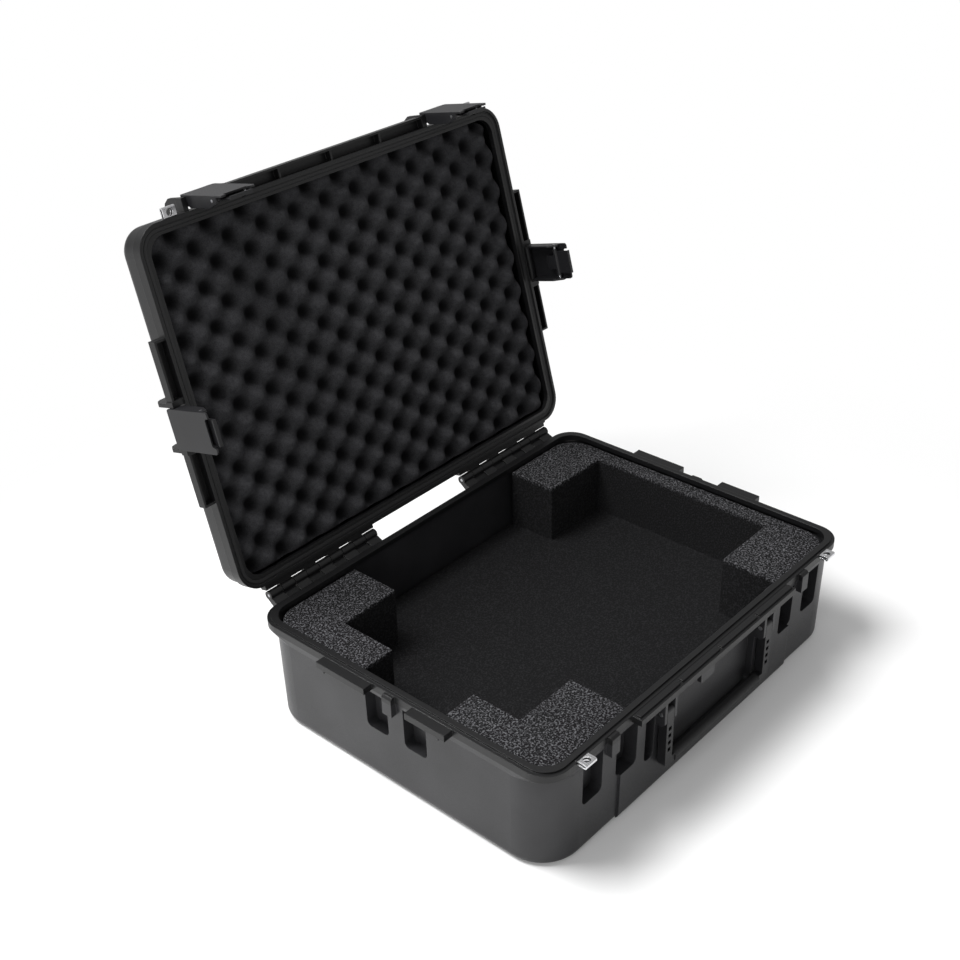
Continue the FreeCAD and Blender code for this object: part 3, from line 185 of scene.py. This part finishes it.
def add(tree, kind, inputs=(), **settings):
    """Add a node with its settings, and feed its inputs from values or other outputs."""
    node = tree.nodes.new(kind)
    for name, value in settings.items():
        setattr(node, name, value)
    for socket, value in dict(inputs).items():
        if isinstance(value, bpy.types.NodeSocket):
            tree.links.new(value, node.inputs[socket])
        else:
            node.inputs[socket].default_value = value
    return node


def new_material(name):
    """Empty node material, with its tree."""
    material = bpy.data.materials.new(name)
    material.use_nodes = True
    material.node_tree.nodes.clear()
    return material, material.node_tree


def dress(nodes, material):
    """Give CAD nodes a material in every slot."""
    for name in nodes:
        piece = frame["nodes"][name]
        if not piece.material_slots:
            piece.data.materials.append(material)
        for slot in piece.material_slots:
            slot.material = material


def nodes_ending(*endings):
    return [name for name in frame["nodes"] if name.endswith(endings)]


def joint_row(name):
    """Place, axis and range of a joint in the frame."""
    return next(joint for joint in frame["joints"] if joint["name"] == name)


# Materials

FLOW_MARK = 70 * MM             # flow marks in moulded plastic
DUST_PATCH = 30 * MM            # dusty bloom on rubber
STEEL_LINE = 0.8 * MM           # lines on steel, drawn as coarse as they need to show
STEEL_LINE_DEPTH = 0.1 * MM
LINES_ROUND_BEND = (1, 0.05, 0.05)      # scale on each axis: the small ones stretch the lines
LINES_ALONG_ROD = (0.05, 1, 1)
EDGE_SAMPLES = 4                # rays that find an edge to round
# Painted shade: the share of pale flecks left at the bottom of the cradle's wells.
WELL_SHADE = 0.1               # share of the cradle's pale flecks left down in its wells
# Painted shade on the lid foam: it darkens from this share of the wave depth to the bottom of each
# hollow.
HOLLOW_START = 0.42             # share of the wave depth below which lid foam darkens
HOLLOW_SHADE = 0.16             # share of its colour left at the bottom of a hollow


def moulded_plastic(name, dark, pale, grain, edge, roughness, rim_shade=None, rim_shade_foot=0):
    """Injection-moulded plastic with a spark-eroded texture; above a height its colour turns to a
    darker painted shade.
    """
    material, tree = new_material(name)
    place = add(tree, "ShaderNodeTexCoord").outputs["Object"]
    texture = add(tree, "ShaderNodeTexNoise", {"Vector": place, "Scale": 1 / grain, "Detail": 2.0})
    flow = add(tree, "ShaderNodeTexNoise", {"Vector": place, "Scale": 1 / FLOW_MARK, "Detail": 3.0})
    tone = add(tree, "ShaderNodeMapRange",
               {"Value": flow.outputs["Fac"], "From Min": 0.35, "From Max": 0.65})
    mixed = add(tree, "ShaderNodeMix", {"Factor": tone.outputs["Result"], "A": dark, "B": pale},
                data_type="RGBA").outputs[2]
    # Painted shade: above the foot the colour blends into the darker rim shade.
    if rim_shade:
        height = add(tree, "ShaderNodeSeparateXYZ", {"Vector": place}).outputs["Z"]
        above = add(tree, "ShaderNodeMapRange",
                    {"Value": height, "From Min": rim_shade_foot - edge, "From Max": rim_shade_foot})
        mixed = add(tree, "ShaderNodeMix",
                    {"Factor": above.outputs["Result"], "A": mixed, "B": rim_shade},
                    data_type="RGBA").outputs[2]
    rough = add(tree, "ShaderNodeMapRange",
                {"Value": texture.outputs["Fac"], "From Min": 0.3, "From Max": 0.7,
                 "To Min": roughness - 0.06, "To Max": roughness + 0.06})
    rounded = add(tree, "ShaderNodeBevel", {"Radius": edge}, samples=EDGE_SAMPLES)
    bump = add(tree, "ShaderNodeBump",
               {"Height": texture.outputs["Fac"], "Strength": 0.25, "Distance": grain / 8,
                "Normal": rounded.outputs["Normal"]})
    shader = add(tree, "ShaderNodeBsdfPrincipled",
                 {"Base Color": mixed, "Roughness": rough.outputs["Result"],
                  "Normal": bump.outputs["Normal"], "IOR": 1.49, "Specular IOR Level": 0.42})
    add(tree, "ShaderNodeOutputMaterial", {"Surface": shader.outputs["BSDF"]})
    return material


def soft_rubber(name, tint, grain, edge):
    """Soft moulded rubber: duller than the nylon, with a faint dusty bloom."""
    material, tree = new_material(name)
    place = add(tree, "ShaderNodeTexCoord").outputs["Object"]
    texture = add(tree, "ShaderNodeTexNoise", {"Vector": place, "Scale": 1 / grain, "Detail": 3.0})
    bloom = add(tree, "ShaderNodeTexNoise",
                {"Vector": place, "Scale": 1 / DUST_PATCH, "Detail": 2.0})
    tone = add(tree, "ShaderNodeMapRange",
               {"Value": bloom.outputs["Fac"], "To Min": 0.85, "To Max": 1.2})
    shade = add(tree, "ShaderNodeVectorMath", {0: tint[:3], "Scale": tone.outputs["Result"]},
                operation="SCALE")
    rounded = add(tree, "ShaderNodeBevel", {"Radius": edge}, samples=EDGE_SAMPLES)
    bump = add(tree, "ShaderNodeBump",
               {"Height": texture.outputs["Fac"], "Strength": 0.3, "Distance": grain / 6,
                "Normal": rounded.outputs["Normal"]})
    shader = add(tree, "ShaderNodeBsdfPrincipled",
                 {"Base Color": shade.outputs["Vector"], "Roughness": 0.72,
                  "Normal": bump.outputs["Normal"], "IOR": 1.52})
    add(tree, "ShaderNodeOutputMaterial", {"Surface": shader.outputs["BSDF"]})
    return material


def rolled_steel(name, tint, roughness, edge, drawn):
    """Bright stainless strip or drawn rod, with fine lines along the way it was drawn."""
    material, tree = new_material(name)
    place = add(tree, "ShaderNodeTexCoord").outputs["Object"]
    lines = add(tree, "ShaderNodeMapping", {"Vector": place, "Scale": drawn})
    streak = add(tree, "ShaderNodeTexNoise",
                 {"Vector": lines.outputs["Vector"], "Scale": 1 / STEEL_LINE, "Detail": 2.0})
    rough = add(tree, "ShaderNodeMapRange",
                {"Value": streak.outputs["Fac"], "From Min": 0.3, "From Max": 0.7,
                 "To Min": roughness - 0.07, "To Max": roughness + 0.07})
    rounded = add(tree, "ShaderNodeBevel", {"Radius": edge}, samples=EDGE_SAMPLES)
    bump = add(tree, "ShaderNodeBump",
               {"Height": streak.outputs["Fac"], "Strength": 0.08, "Distance": STEEL_LINE_DEPTH,
                "Normal": rounded.outputs["Normal"]})
    shader = add(tree, "ShaderNodeBsdfPrincipled",
                 {"Base Color": tint, "Metallic": 1.0, "Roughness": rough.outputs["Result"],
                  "Normal": bump.outputs["Normal"]})
    add(tree, "ShaderNodeOutputMaterial", {"Surface": shader.outputs["BSDF"]})
    return material


def bonded_foam(name, dark, pale, grain, low, high):
    """Closed-cell foam bonded from granules: a coarse salt-and-pepper face, with painted shade
    darkening it down in its wells.
    """
    material, tree = new_material(name)
    place = add(tree, "ShaderNodeTexCoord").outputs["Object"]
    wander = add(tree, "ShaderNodeTexNoise",
                 {"Vector": place, "Scale": 1 / (grain * 2), "Detail": 2.0})
    push = add(tree, "ShaderNodeVectorMath", {0: wander.outputs["Color"], "Scale": grain * 1.6},
               operation="SCALE")
    bent = add(tree, "ShaderNodeVectorMath", {0: place, 1: push.outputs["Vector"]}, operation="ADD")
    fleck = add(tree, "ShaderNodeTexNoise",
                {"Vector": bent.outputs["Vector"], "Scale": 1 / (grain * 1.3), "Detail": 1.5,
                 "Roughness": 0.55})
    spot = add(tree, "ShaderNodeMapRange",
               {"Value": fleck.outputs["Fac"], "From Min": 0.48, "From Max": 0.66})
    height = add(tree, "ShaderNodeSeparateXYZ", {"Vector": place}).outputs["Z"]
    # Painted shade: below the top the pale flecks fade, darkening the wells.
    depth = add(tree, "ShaderNodeMapRange",
                {"Value": height, "From Min": low, "From Max": high, "To Min": WELL_SHADE,
                 "To Max": 1.0}, interpolation_type="SMOOTHSTEP")
    tone = add(tree, "ShaderNodeMath", {0: spot.outputs["Result"], 1: depth.outputs["Result"]},
               operation="MULTIPLY")
    mixed = add(tree, "ShaderNodeMix", {"Factor": tone.outputs["Value"], "A": dark, "B": pale},
                data_type="RGBA")
    bump = add(tree, "ShaderNodeBump",
               {"Height": spot.outputs["Result"], "Strength": 0.8, "Distance": grain * 0.35})
    shader = add(tree, "ShaderNodeBsdfPrincipled",
                 {"Base Color": mixed.outputs[2], "Roughness": 0.9,
                  "Normal": bump.outputs["Normal"], "Specular IOR Level": 0.15})
    add(tree, "ShaderNodeOutputMaterial", {"Surface": shader.outputs["BSDF"]})
    return material


def open_cell_foam(name, dark, pale, grain, way, crest, depth):
    """Convoluted polyurethane foam: dark open cells, with painted shade darkest in the hollows."""
    material, tree = new_material(name)
    place = add(tree, "ShaderNodeTexCoord").outputs["Object"]
    cells = add(tree, "ShaderNodeTexVoronoi", {"Vector": place, "Scale": 1 / grain})
    patch = add(tree, "ShaderNodeTexNoise",
                {"Vector": place, "Scale": 1 / (grain * 5), "Detail": 3.0})
    tone = add(tree, "ShaderNodeMath", {0: cells.outputs["Distance"], 1: patch.outputs["Fac"]},
               operation="MULTIPLY")
    spread = add(tree, "ShaderNodeMapRange",
                 {"Value": tone.outputs["Value"], "From Min": 0.1, "From Max": 0.4})
    mixed = add(tree, "ShaderNodeMix", {"Factor": spread.outputs["Result"], "A": pale, "B": dark},
                data_type="RGBA")
    # Painted shade: the colour darkens with depth below the crests, darkest in the hollows.
    along = add(tree, "ShaderNodeVectorMath", {0: place, 1: way}, operation="DOT_PRODUCT")
    shade = add(tree, "ShaderNodeMapRange",
                {"Value": along.outputs["Value"], "From Min": crest + depth * HOLLOW_START,
                 "From Max": crest + depth, "To Min": 1.0, "To Max": HOLLOW_SHADE},
                interpolation_type="SMOOTHSTEP")
    deep = add(tree, "ShaderNodeVectorMath",
               {0: mixed.outputs[2], "Scale": shade.outputs["Result"]}, operation="SCALE")
    bump = add(tree, "ShaderNodeBump",
               {"Height": cells.outputs["Distance"], "Strength": 0.5, "Distance": grain * 0.4})
    shader = add(tree, "ShaderNodeBsdfPrincipled",
                 {"Base Color": deep.outputs["Vector"], "Roughness": 1.0,
                  "Normal": bump.outputs["Normal"], "Specular IOR Level": 0.05})
    add(tree, "ShaderNodeOutputMaterial", {"Surface": shader.outputs["BSDF"]})
    return material


# Modelling

CORNER_SEGMENTS = 10
FOOT_SEGMENTS = 5
EDGE_SEGMENTS = 3
CUT_EDGE_ANGLE = 50             # degrees, edges sharper than this are softened
CRADLE_SMOOTH_ANGLE = 40        # degrees, faces that meet flatter than this shade as one
WAVES_SMOOTH_ANGLE = 45


def deselect_all():
    bpy.ops.object.select_all(action="DESELECT")


def add_block(name, low, high):
    """Cube primitive stretched between two corners, with its place in its mesh."""
    deselect_all()
    bpy.ops.mesh.primitive_cube_add(size=1, location=(low + high) / 2)
    block = bpy.context.object
    block.name = name
    block.scale = high - low
    bpy.ops.object.transform_apply(location=True, rotation=True, scale=True)
    return block


def bevel_edges(piece, test, radius, segments):
    """Round the edges that pass the test."""
    bpy.context.view_layer.objects.active = piece
    bpy.ops.object.mode_set(mode="EDIT")
    bpy.ops.mesh.select_mode(type="EDGE")
    bpy.ops.mesh.select_all(action="DESELECT")
    mesh = bmesh.from_edit_mesh(piece.data)
    for edge in mesh.edges:
        edge.select_set(test(*[corner.co for corner in edge.verts]))
    bmesh.update_edit_mesh(piece.data)
    bpy.ops.mesh.bevel(offset=radius, offset_type="OFFSET", segments=segments, affect="EDGES")
    bpy.ops.object.mode_set(mode="OBJECT")


def upright(first, second):
    return (first - second).xy.length < TOLERANCE


def combine(piece, tool, operation):
    """Cut or trim the piece with a tool, which is then removed."""
    modifier = piece.modifiers.new(operation.title(), "BOOLEAN")
    modifier.operation = operation
    modifier.solver = "EXACT"
    modifier.object = tool
    bpy.context.view_layer.objects.active = piece
    bpy.ops.object.modifier_apply(modifier=modifier.name)
    bpy.data.objects.remove(tool)


def soften(piece, width):
    """Round every cut edge with a bevel that is applied."""
    modifier = piece.modifiers.new("Soft edges", "BEVEL")
    modifier.width = width
    modifier.segments = EDGE_SEGMENTS
    modifier.limit_method = "ANGLE"
    modifier.angle_limit = math.radians(CUT_EDGE_ANGLE)
    bpy.context.view_layer.objects.active = piece
    bpy.ops.object.modifier_apply(modifier=modifier.name)


def smooth(piece, degrees):
    deselect_all()
    piece.select_set(True)
    bpy.context.view_layer.objects.active = piece
    bpy.ops.object.shade_smooth_by_angle(angle=math.radians(degrees))


def finish_foam(piece, material, body, nodes):
    """Dress a foam piece, put it on its body and let it stand for its CAD solids."""
    piece.data.materials.clear()
    piece.data.materials.append(material)
    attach(piece, body)
    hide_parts(*nodes)


def lid_swing():
    """Turn that carries a point from the closed lid to the lid at rest."""
    hinge = joint_row("lid_hinge")
    place = Matrix.Translation(Vector(hinge["pos_m"]))
    turn = Matrix.Rotation(math.radians(-hinge["range_deg"][0]), 4, Vector(hinge["axis"]))
    return place @ turn @ place.inverted()


def closed_box(node):
    """Lowest and highest corner of a lid node with the lid closed."""
    back = lid_swing().inverted()
    points = [back @ corner.co for corner in frame["nodes"][node].data.vertices]
    low = Vector(min(point[axis] for point in points) for axis in range(3))
    high = Vector(max(point[axis] for point in points) for axis in range(3))
    return low, high


def cut_notches(foam, cradle):
    """Leave room in the cradle for the skins behind the tub's pockets.

    The left wall's pockets face a well, so only the front and the right need notches.
    """
    latch = joint_row("latch_front_right_swing")["pos_m"][0]
    deep, top, shift = cradle.skin_depth, cradle.skin_top, cradle.side_skin_shift
    front = deep - cradle.wall_front
    side = cradle.wall_side - deep
    for start, end in ((-cradle.skin_far, -cradle.skin_near), (cradle.skin_near, cradle.skin_far)):
        corners = [(Vector((place + start, front - deep, cradle.front_skin_foot)),
                    Vector((place + end, front, top))) for place in (-latch, latch)]
        corners.append((Vector((side, shift + start, cradle.side_skin_foot)),
                        Vector((side + deep, shift + end, top))))
        for low, high in corners:
            combine(foam, add_block("cradle_notch", low, high), "DIFFERENCE")


# Operators

class PEDALCASE_OT_shells(bpy.types.Operator):
    """Finish the moulded tub and lid"""
    bl_idname = "pedal_case.shells"
    bl_label = "Tub and lid"

    def execute(self, context):
        shell = context.scene.pedal_case.shell
        # Textured polypropylene: satin walls under a blacker band of painted shade on the rims and
        # the open lid.
        material = moulded_plastic("Textured polypropylene", shell.plastic, shell.plastic_pale,
                                   shell.grain, shell.edge, shell.roughness, shell.rim_shade,
                                   shell.rim_shade_foot)
        dress(["base_shell", "lid_shell"], material)
        return {"FINISHED"}


class PEDALCASE_OT_latches(bpy.types.Operator):
    """Finish the latch plates, their triggers and the handle"""
    bl_idname = "pedal_case.latches"
    bl_label = "Latches and handle"

    def execute(self, context):
        latch = context.scene.pedal_case.latch
        # Glass-filled nylon: a finer satin than the shell, with tighter highlights on the plate.
        nylon = moulded_plastic("Satin glass-filled nylon", latch.nylon, latch.nylon_pale,
                                latch.grain, latch.edge, latch.roughness)
        # Thermoplastic rubber over the bar: duller than the arms it runs between.
        grip = soft_rubber("Thermoplastic rubber", latch.grip, latch.grain, latch.edge)
        latches = [name for name in nodes_ending("_body", "_trigger") if name.startswith("latch")]
        dress(latches + ["handle_frame"], nylon)
        dress(["handle_grip"], grip)
        return {"FINISHED"}


class PEDALCASE_OT_metalwork(bpy.types.Operator):
    """Finish the padlock plates, pins and springs"""
    bl_idname = "pedal_case.metalwork"
    bl_label = "Metalwork"

    def execute(self, context):
        metal = context.scene.pedal_case.metal
        # Rolled stainless strip: bright, with lines round the bend.
        plate = rolled_steel("Rolled stainless steel", metal.plate, metal.plate_roughness,
                             metal.edge, LINES_ROUND_BEND)
        # Drawn rod and wire: greyer than the strip, with lines along it.
        rod = rolled_steel("Drawn steel rod", metal.steel, metal.steel_roughness, metal.edge,
                           LINES_ALONG_ROD)
        dress([name for name in frame["nodes"] if name.startswith("padlock_plate")], plate)
        dress(nodes_ending("_pin", "_pin_left", "_pin_right", "_spring"), rod)
        return {"FINISHED"}


class PEDALCASE_OT_gasket(bpy.types.Operator):
    """Finish the gasket in the lid's groove"""
    bl_idname = "pedal_case.gasket"
    bl_label = "Gasket"

    def execute(self, context):
        seal = context.scene.pedal_case.seal
        # Extruded rubber cord: the darkest line round the lid, with no shine.
        rubber = soft_rubber("Extruded rubber cord", seal.rubber, seal.grain, seal.edge)
        dress(["lid_gasket"], rubber)
        return {"FINISHED"}


class PEDALCASE_OT_cradle_foam(bpy.types.Operator):
    """Cut the foam cradle in the tub: recess, wells, notches and soft edges"""
    bl_idname = "pedal_case.cradle_foam"
    bl_label = "Cradle foam"

    def execute(self, context):
        cradle = context.scene.pedal_case.cradle
        floor_low, floor_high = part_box("foam_floor")
        front_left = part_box("foam_front_left")[1]
        back_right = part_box("foam_back_right")[0]
        rail_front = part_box("foam_left_front_rail")[1]
        rail_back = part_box("foam_left_back_rail")[0]
        top = front_left.z
        foam = add_block("cradle_foam", floor_low, Vector((floor_high.x, floor_high.y, top)))
        bevel_edges(foam, upright, cradle.corner, CORNER_SEGMENTS)
        bevel_edges(foam, lambda first, second: max(first.z, second.z) < floor_low.z + TOLERANCE,
                    cradle.foot, FOOT_SEGMENTS)
        over = 2 * cradle.corner
        left = floor_low.x - over
        front, back = floor_low.y - over, floor_high.y + over
        recess_left, recess_right = rail_front.x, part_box("foam_right_rail")[0].x
        recess_front, recess_back = front_left.y, back_right.y
        spans = [((recess_left, recess_right), (recess_front, recess_back)),
                 ((front_left.x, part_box("foam_front_right")[0].x), (front, recess_front + over)),
                 ((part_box("foam_back_left")[1].x, back_right.x), (recess_back - over, back)),
                 ((left, recess_left + over), (rail_front.y, rail_back.y))]
        for (low_x, high_x), (low_y, high_y) in spans:
            tool = add_block("cradle_cut", Vector((low_x, low_y, floor_high.z)),
                             Vector((high_x, high_y, top + over)))
            combine(foam, tool, "DIFFERENCE")
        soften(foam, cradle.edge)
        cut_notches(foam, cradle)
        smooth(foam, CRADLE_SMOOTH_ANGLE)
        # Granules of closed-cell foam pressed together: grey flecks over dark pits, with painted
        # shade in the wells.
        material = bonded_foam("Bonded closed-cell foam", cradle.dark, cradle.pale, cradle.grain,
                               top - cradle.well_shade_depth, top)
        finish_foam(foam, material, BASE_BODY, CRADLE_NODES)
        return {"FINISHED"}


class PEDALCASE_OT_lid_foam(bpy.types.Operator):
    """Shape the convoluted foam in the lid"""
    bl_idname = "pedal_case.lid_foam"
    bl_label = "Lid foam"

    def execute(self, context):
        waves = context.scene.pedal_case.lid_foam
        low, high = closed_box(LID_FOAM_NODE)
        size = high - low
        deselect_all()
        counts = [math.ceil(side / waves.cell) + 2 for side in size.xy]
        bpy.ops.mesh.primitive_grid_add(x_subdivisions=counts[0], y_subdivisions=counts[1], size=1,
                                        location=((low.x + high.x) / 2, (low.y + high.y) / 2, 0))
        foam = bpy.context.object
        foam.name = "convoluted_foam"
        foam.scale = (counts[0] * waves.cell, counts[1] * waves.cell, 1)
        bpy.ops.object.transform_apply(location=True, rotation=True, scale=True)
        middle = low.z + waves.depth / 2
        for point in foam.data.vertices:
            along = math.cos(2 * math.pi * (point.co.x - waves.shift_x) / waves.pitch_x)
            across = math.cos(2 * math.pi * (point.co.y - waves.shift_y) / waves.pitch_y)
            point.co.z = middle - waves.depth / 2 * along * across
        bpy.ops.object.mode_set(mode="EDIT")
        bpy.ops.mesh.select_all(action="SELECT")
        bpy.ops.mesh.extrude_region_move(TRANSFORM_OT_translate={"value": (0, 0, size.z)})
        bpy.ops.transform.resize(value=(1, 1, 0), center_override=(0, 0, high.z))
        bpy.ops.mesh.select_all(action="SELECT")
        bpy.ops.mesh.normals_make_consistent(inside=False)
        bpy.ops.object.mode_set(mode="OBJECT")
        outline = add_block("lid_foam_outline", low, high)
        bevel_edges(outline, upright, waves.corner, CORNER_SEGMENTS)
        combine(foam, outline, "INTERSECT")
        smooth(foam, WAVES_SMOOTH_ANGLE)
        swing = lid_swing()
        foam.data.transform(swing)
        # Charcoal polyurethane, cut into waves by a pressed wire: matt, with painted shade in its
        # hollows.
        way = (swing.to_3x3() @ Vector((0, 0, 1))).normalized()
        crest = way.dot(swing @ Vector((0, 0, low.z)))
        material = open_cell_foam("Convoluted polyurethane foam", waves.dark, waves.pale,
                                  waves.grain, way, crest, waves.depth)
        finish_foam(foam, material, LID_BODY, [LID_FOAM_NODE])
        return {"FINISHED"}


# Studio

CAMERA_PLACE = Vector((-1.2922, -1.0143, 1.3032))
CAMERA_AZIMUTH = -48.05         # degrees, 0 looks along +Y
CAMERA_ELEVATION = 31.04
CAMERA_ROLL = -1.38
CAMERA_LENS = 53.36             # millimetres
CAMERA_SENSOR = 36              # millimetres wide
LAMP_TARGET = (0, 0, 0.2)
KEY_PLACE, KEY_SIZE = (-0.8, 0.9, 2.4), 1.3
SIDE_PLACE, SIDE_SIZE = (-2.6, -0.6, 1.2), 1.4
WHITE = (1, 1, 1, 1)
FLOOR_SIZE = 30.0
FLOOR_GAP = 0.2 * MM            # below the case's underside
FLOOR_LIT = 0.55                # from the middle: the floor shows its shadow up to here
FLOOR_PLAIN = 1.1               # and is plain white from here on
FLOOR_LIFT = 0.08               # share of plain white under the case


def camera_turn():
    """Columns are the camera's right, up and back."""
    azimuth, elevation, roll = [math.radians(angle) for angle in
                                (CAMERA_AZIMUTH, CAMERA_ELEVATION, CAMERA_ROLL)]
    back = Vector((math.sin(azimuth) * math.cos(elevation),
                   -math.cos(azimuth) * math.cos(elevation), math.sin(elevation)))
    right = Vector((0, 0, 1)).cross(back).normalized()
    up = back.cross(right)
    turned_right = right * math.cos(roll) + up * math.sin(roll)
    turned_up = up * math.cos(roll) - right * math.sin(roll)
    return Matrix((turned_right, turned_up, back)).transposed().to_4x4()


def seen_share(tree, mirrored):
    """One where the camera looks, through glass too, and where a mirror-like ray does if asked."""
    rays = add(tree, "ShaderNodeLightPath")
    seen = add(tree, "ShaderNodeMath", {0: rays.outputs["Is Camera Ray"],
                                        1: rays.outputs["Is Transmission Ray"]},
               operation="MAXIMUM").outputs["Value"]
    if not mirrored:
        return seen
    return add(tree, "ShaderNodeMath", {0: seen, 1: rays.outputs["Is Glossy Ray"]},
               operation="MAXIMUM").outputs["Value"]


def add_softbox(name, place, size, power):
    """Square area light that faces the case."""
    light = bpy.data.lights.new(name, "AREA")
    light.size = size
    light.energy = power
    lamp = bpy.data.objects.new(name, light)
    bpy.context.scene.collection.objects.link(lamp)
    lamp.location = place
    way = Vector(LAMP_TARGET) - lamp.location
    lamp.rotation_euler = way.to_track_quat("-Z", "Y").to_euler()


class PEDALCASE_OT_stage(bpy.types.Operator):
    """Set up the white sweep, lights and camera"""
    bl_idname = "pedal_case.stage"
    bl_label = "Studio"

    def execute(self, context):
        stage = context.scene.pedal_case.stage
        deselect_all()
        bpy.ops.mesh.primitive_plane_add(size=FLOOR_SIZE, location=(0, 0, -FLOOR_GAP))
        floor = bpy.context.object
        floor.name = "studio_floor"
        bpy.ops.object.transform_apply(location=True, rotation=True, scale=True)
        # White paper sweep: keeps the shadow near the case, and is plain white further off.
        paper, tree = new_material("White paper sweep")
        place = add(tree, "ShaderNodeTexCoord").outputs["Object"]
        away = add(tree, "ShaderNodeVectorMath", {0: place}, operation="LENGTH")
        far = add(tree, "ShaderNodeMapRange",
                  {"Value": away.outputs["Value"], "From Min": FLOOR_LIT, "From Max": FLOOR_PLAIN,
                   "To Min": FLOOR_LIFT, "To Max": 1.0}, interpolation_type="SMOOTHSTEP")
        diffuse = add(tree, "ShaderNodeBsdfDiffuse", {"Color": stage.floor})
        glow = add(tree, "ShaderNodeEmission", {"Color": WHITE, "Strength": 1.0})
        share_white = add(tree, "ShaderNodeMath", {0: seen_share(tree, True),
                                                   1: far.outputs["Result"]}, operation="MULTIPLY")
        surface = add(tree, "ShaderNodeMixShader", {0: share_white.outputs["Value"],
                                                    1: diffuse.outputs["BSDF"],
                                                    2: glow.outputs["Emission"]})
        add(tree, "ShaderNodeOutputMaterial", {"Surface": surface.outputs["Shader"]})
        floor.data.materials.append(paper)

        world = bpy.data.worlds.new("Studio surroundings")
        context.scene.world = world
        world.use_nodes = True
        tree = world.node_tree
        tree.nodes.clear()
        strength = add(tree, "ShaderNodeMapRange",
                       {"Value": seen_share(tree, False), "To Min": stage.ambient, "To Max": 1.0})
        sky = add(tree, "ShaderNodeBackground",
                  {"Color": WHITE, "Strength": strength.outputs["Result"]})
        add(tree, "ShaderNodeOutputWorld", {"Surface": sky.outputs["Background"]})

        add_softbox("overhead_softbox", KEY_PLACE, KEY_SIZE, stage.key)
        add_softbox("left_softbox", SIDE_PLACE, SIDE_SIZE, stage.side)

        eye = bpy.data.objects.new("camera", bpy.data.cameras.new("camera"))
        context.scene.collection.objects.link(eye)
        eye.data.sensor_width = CAMERA_SENSOR
        eye.data.lens = CAMERA_LENS
        eye.matrix_world = Matrix.Translation(CAMERA_PLACE) @ camera_turn()
        context.scene.camera = eye
        context.scene.view_settings.view_transform = "Standard"
        return {"FINISHED"}


class PEDALCASE_PT_sidebar(bpy.types.Panel):
    bl_idname = "PEDALCASE_PT_sidebar"
    bl_label = "Pedal Case"
    bl_space_type = "VIEW_3D"
    bl_region_type = "UI"
    bl_category = "Pedal Case"

    def draw(self, context):
        case = context.scene.pedal_case
        for title, group, operator in STEPS:
            settings = getattr(case, group)
            box = self.layout.box()
            box.label(text=title)
            for name in settings.__annotations__:
                box.prop(settings, name)
            box.operator(operator)


STEPS = (("Tub and lid", "shell", "pedal_case.shells"),
         ("Latches and handle", "latch", "pedal_case.latches"),
         ("Metalwork", "metal", "pedal_case.metalwork"),
         ("Gasket", "seal", "pedal_case.gasket"),
         ("Cradle foam", "cradle", "pedal_case.cradle_foam"),
         ("Lid foam", "lid_foam", "pedal_case.lid_foam"),
         ("Studio", "stage", "pedal_case.stage"))
CLASSES = (ShellSettings, LatchSettings, MetalSettings, SealSettings, CradleSettings,
           LidFoamSettings, StageSettings, CaseSettings, PEDALCASE_OT_shells,
           PEDALCASE_OT_latches, PEDALCASE_OT_metalwork, PEDALCASE_OT_gasket,
           PEDALCASE_OT_cradle_foam, PEDALCASE_OT_lid_foam, PEDALCASE_OT_stage,
           PEDALCASE_PT_sidebar)


def register():
    for item in CLASSES:
        bpy.utils.register_class(item)
    bpy.types.Scene.pedal_case = bpy.props.PointerProperty(type=CaseSettings)


def unregister():
    del bpy.types.Scene.pedal_case
    for item in reversed(CLASSES):
        bpy.utils.unregister_class(item)


def main():
    register()
    bpy.ops.pedal_case.stage()
    bpy.ops.pedal_case.shells()
    bpy.ops.pedal_case.latches()
    bpy.ops.pedal_case.metalwork()
    bpy.ops.pedal_case.gasket()
    bpy.ops.pedal_case.cradle_foam()
    bpy.ops.pedal_case.lid_foam()


if __name__ == "__main__":
    main()
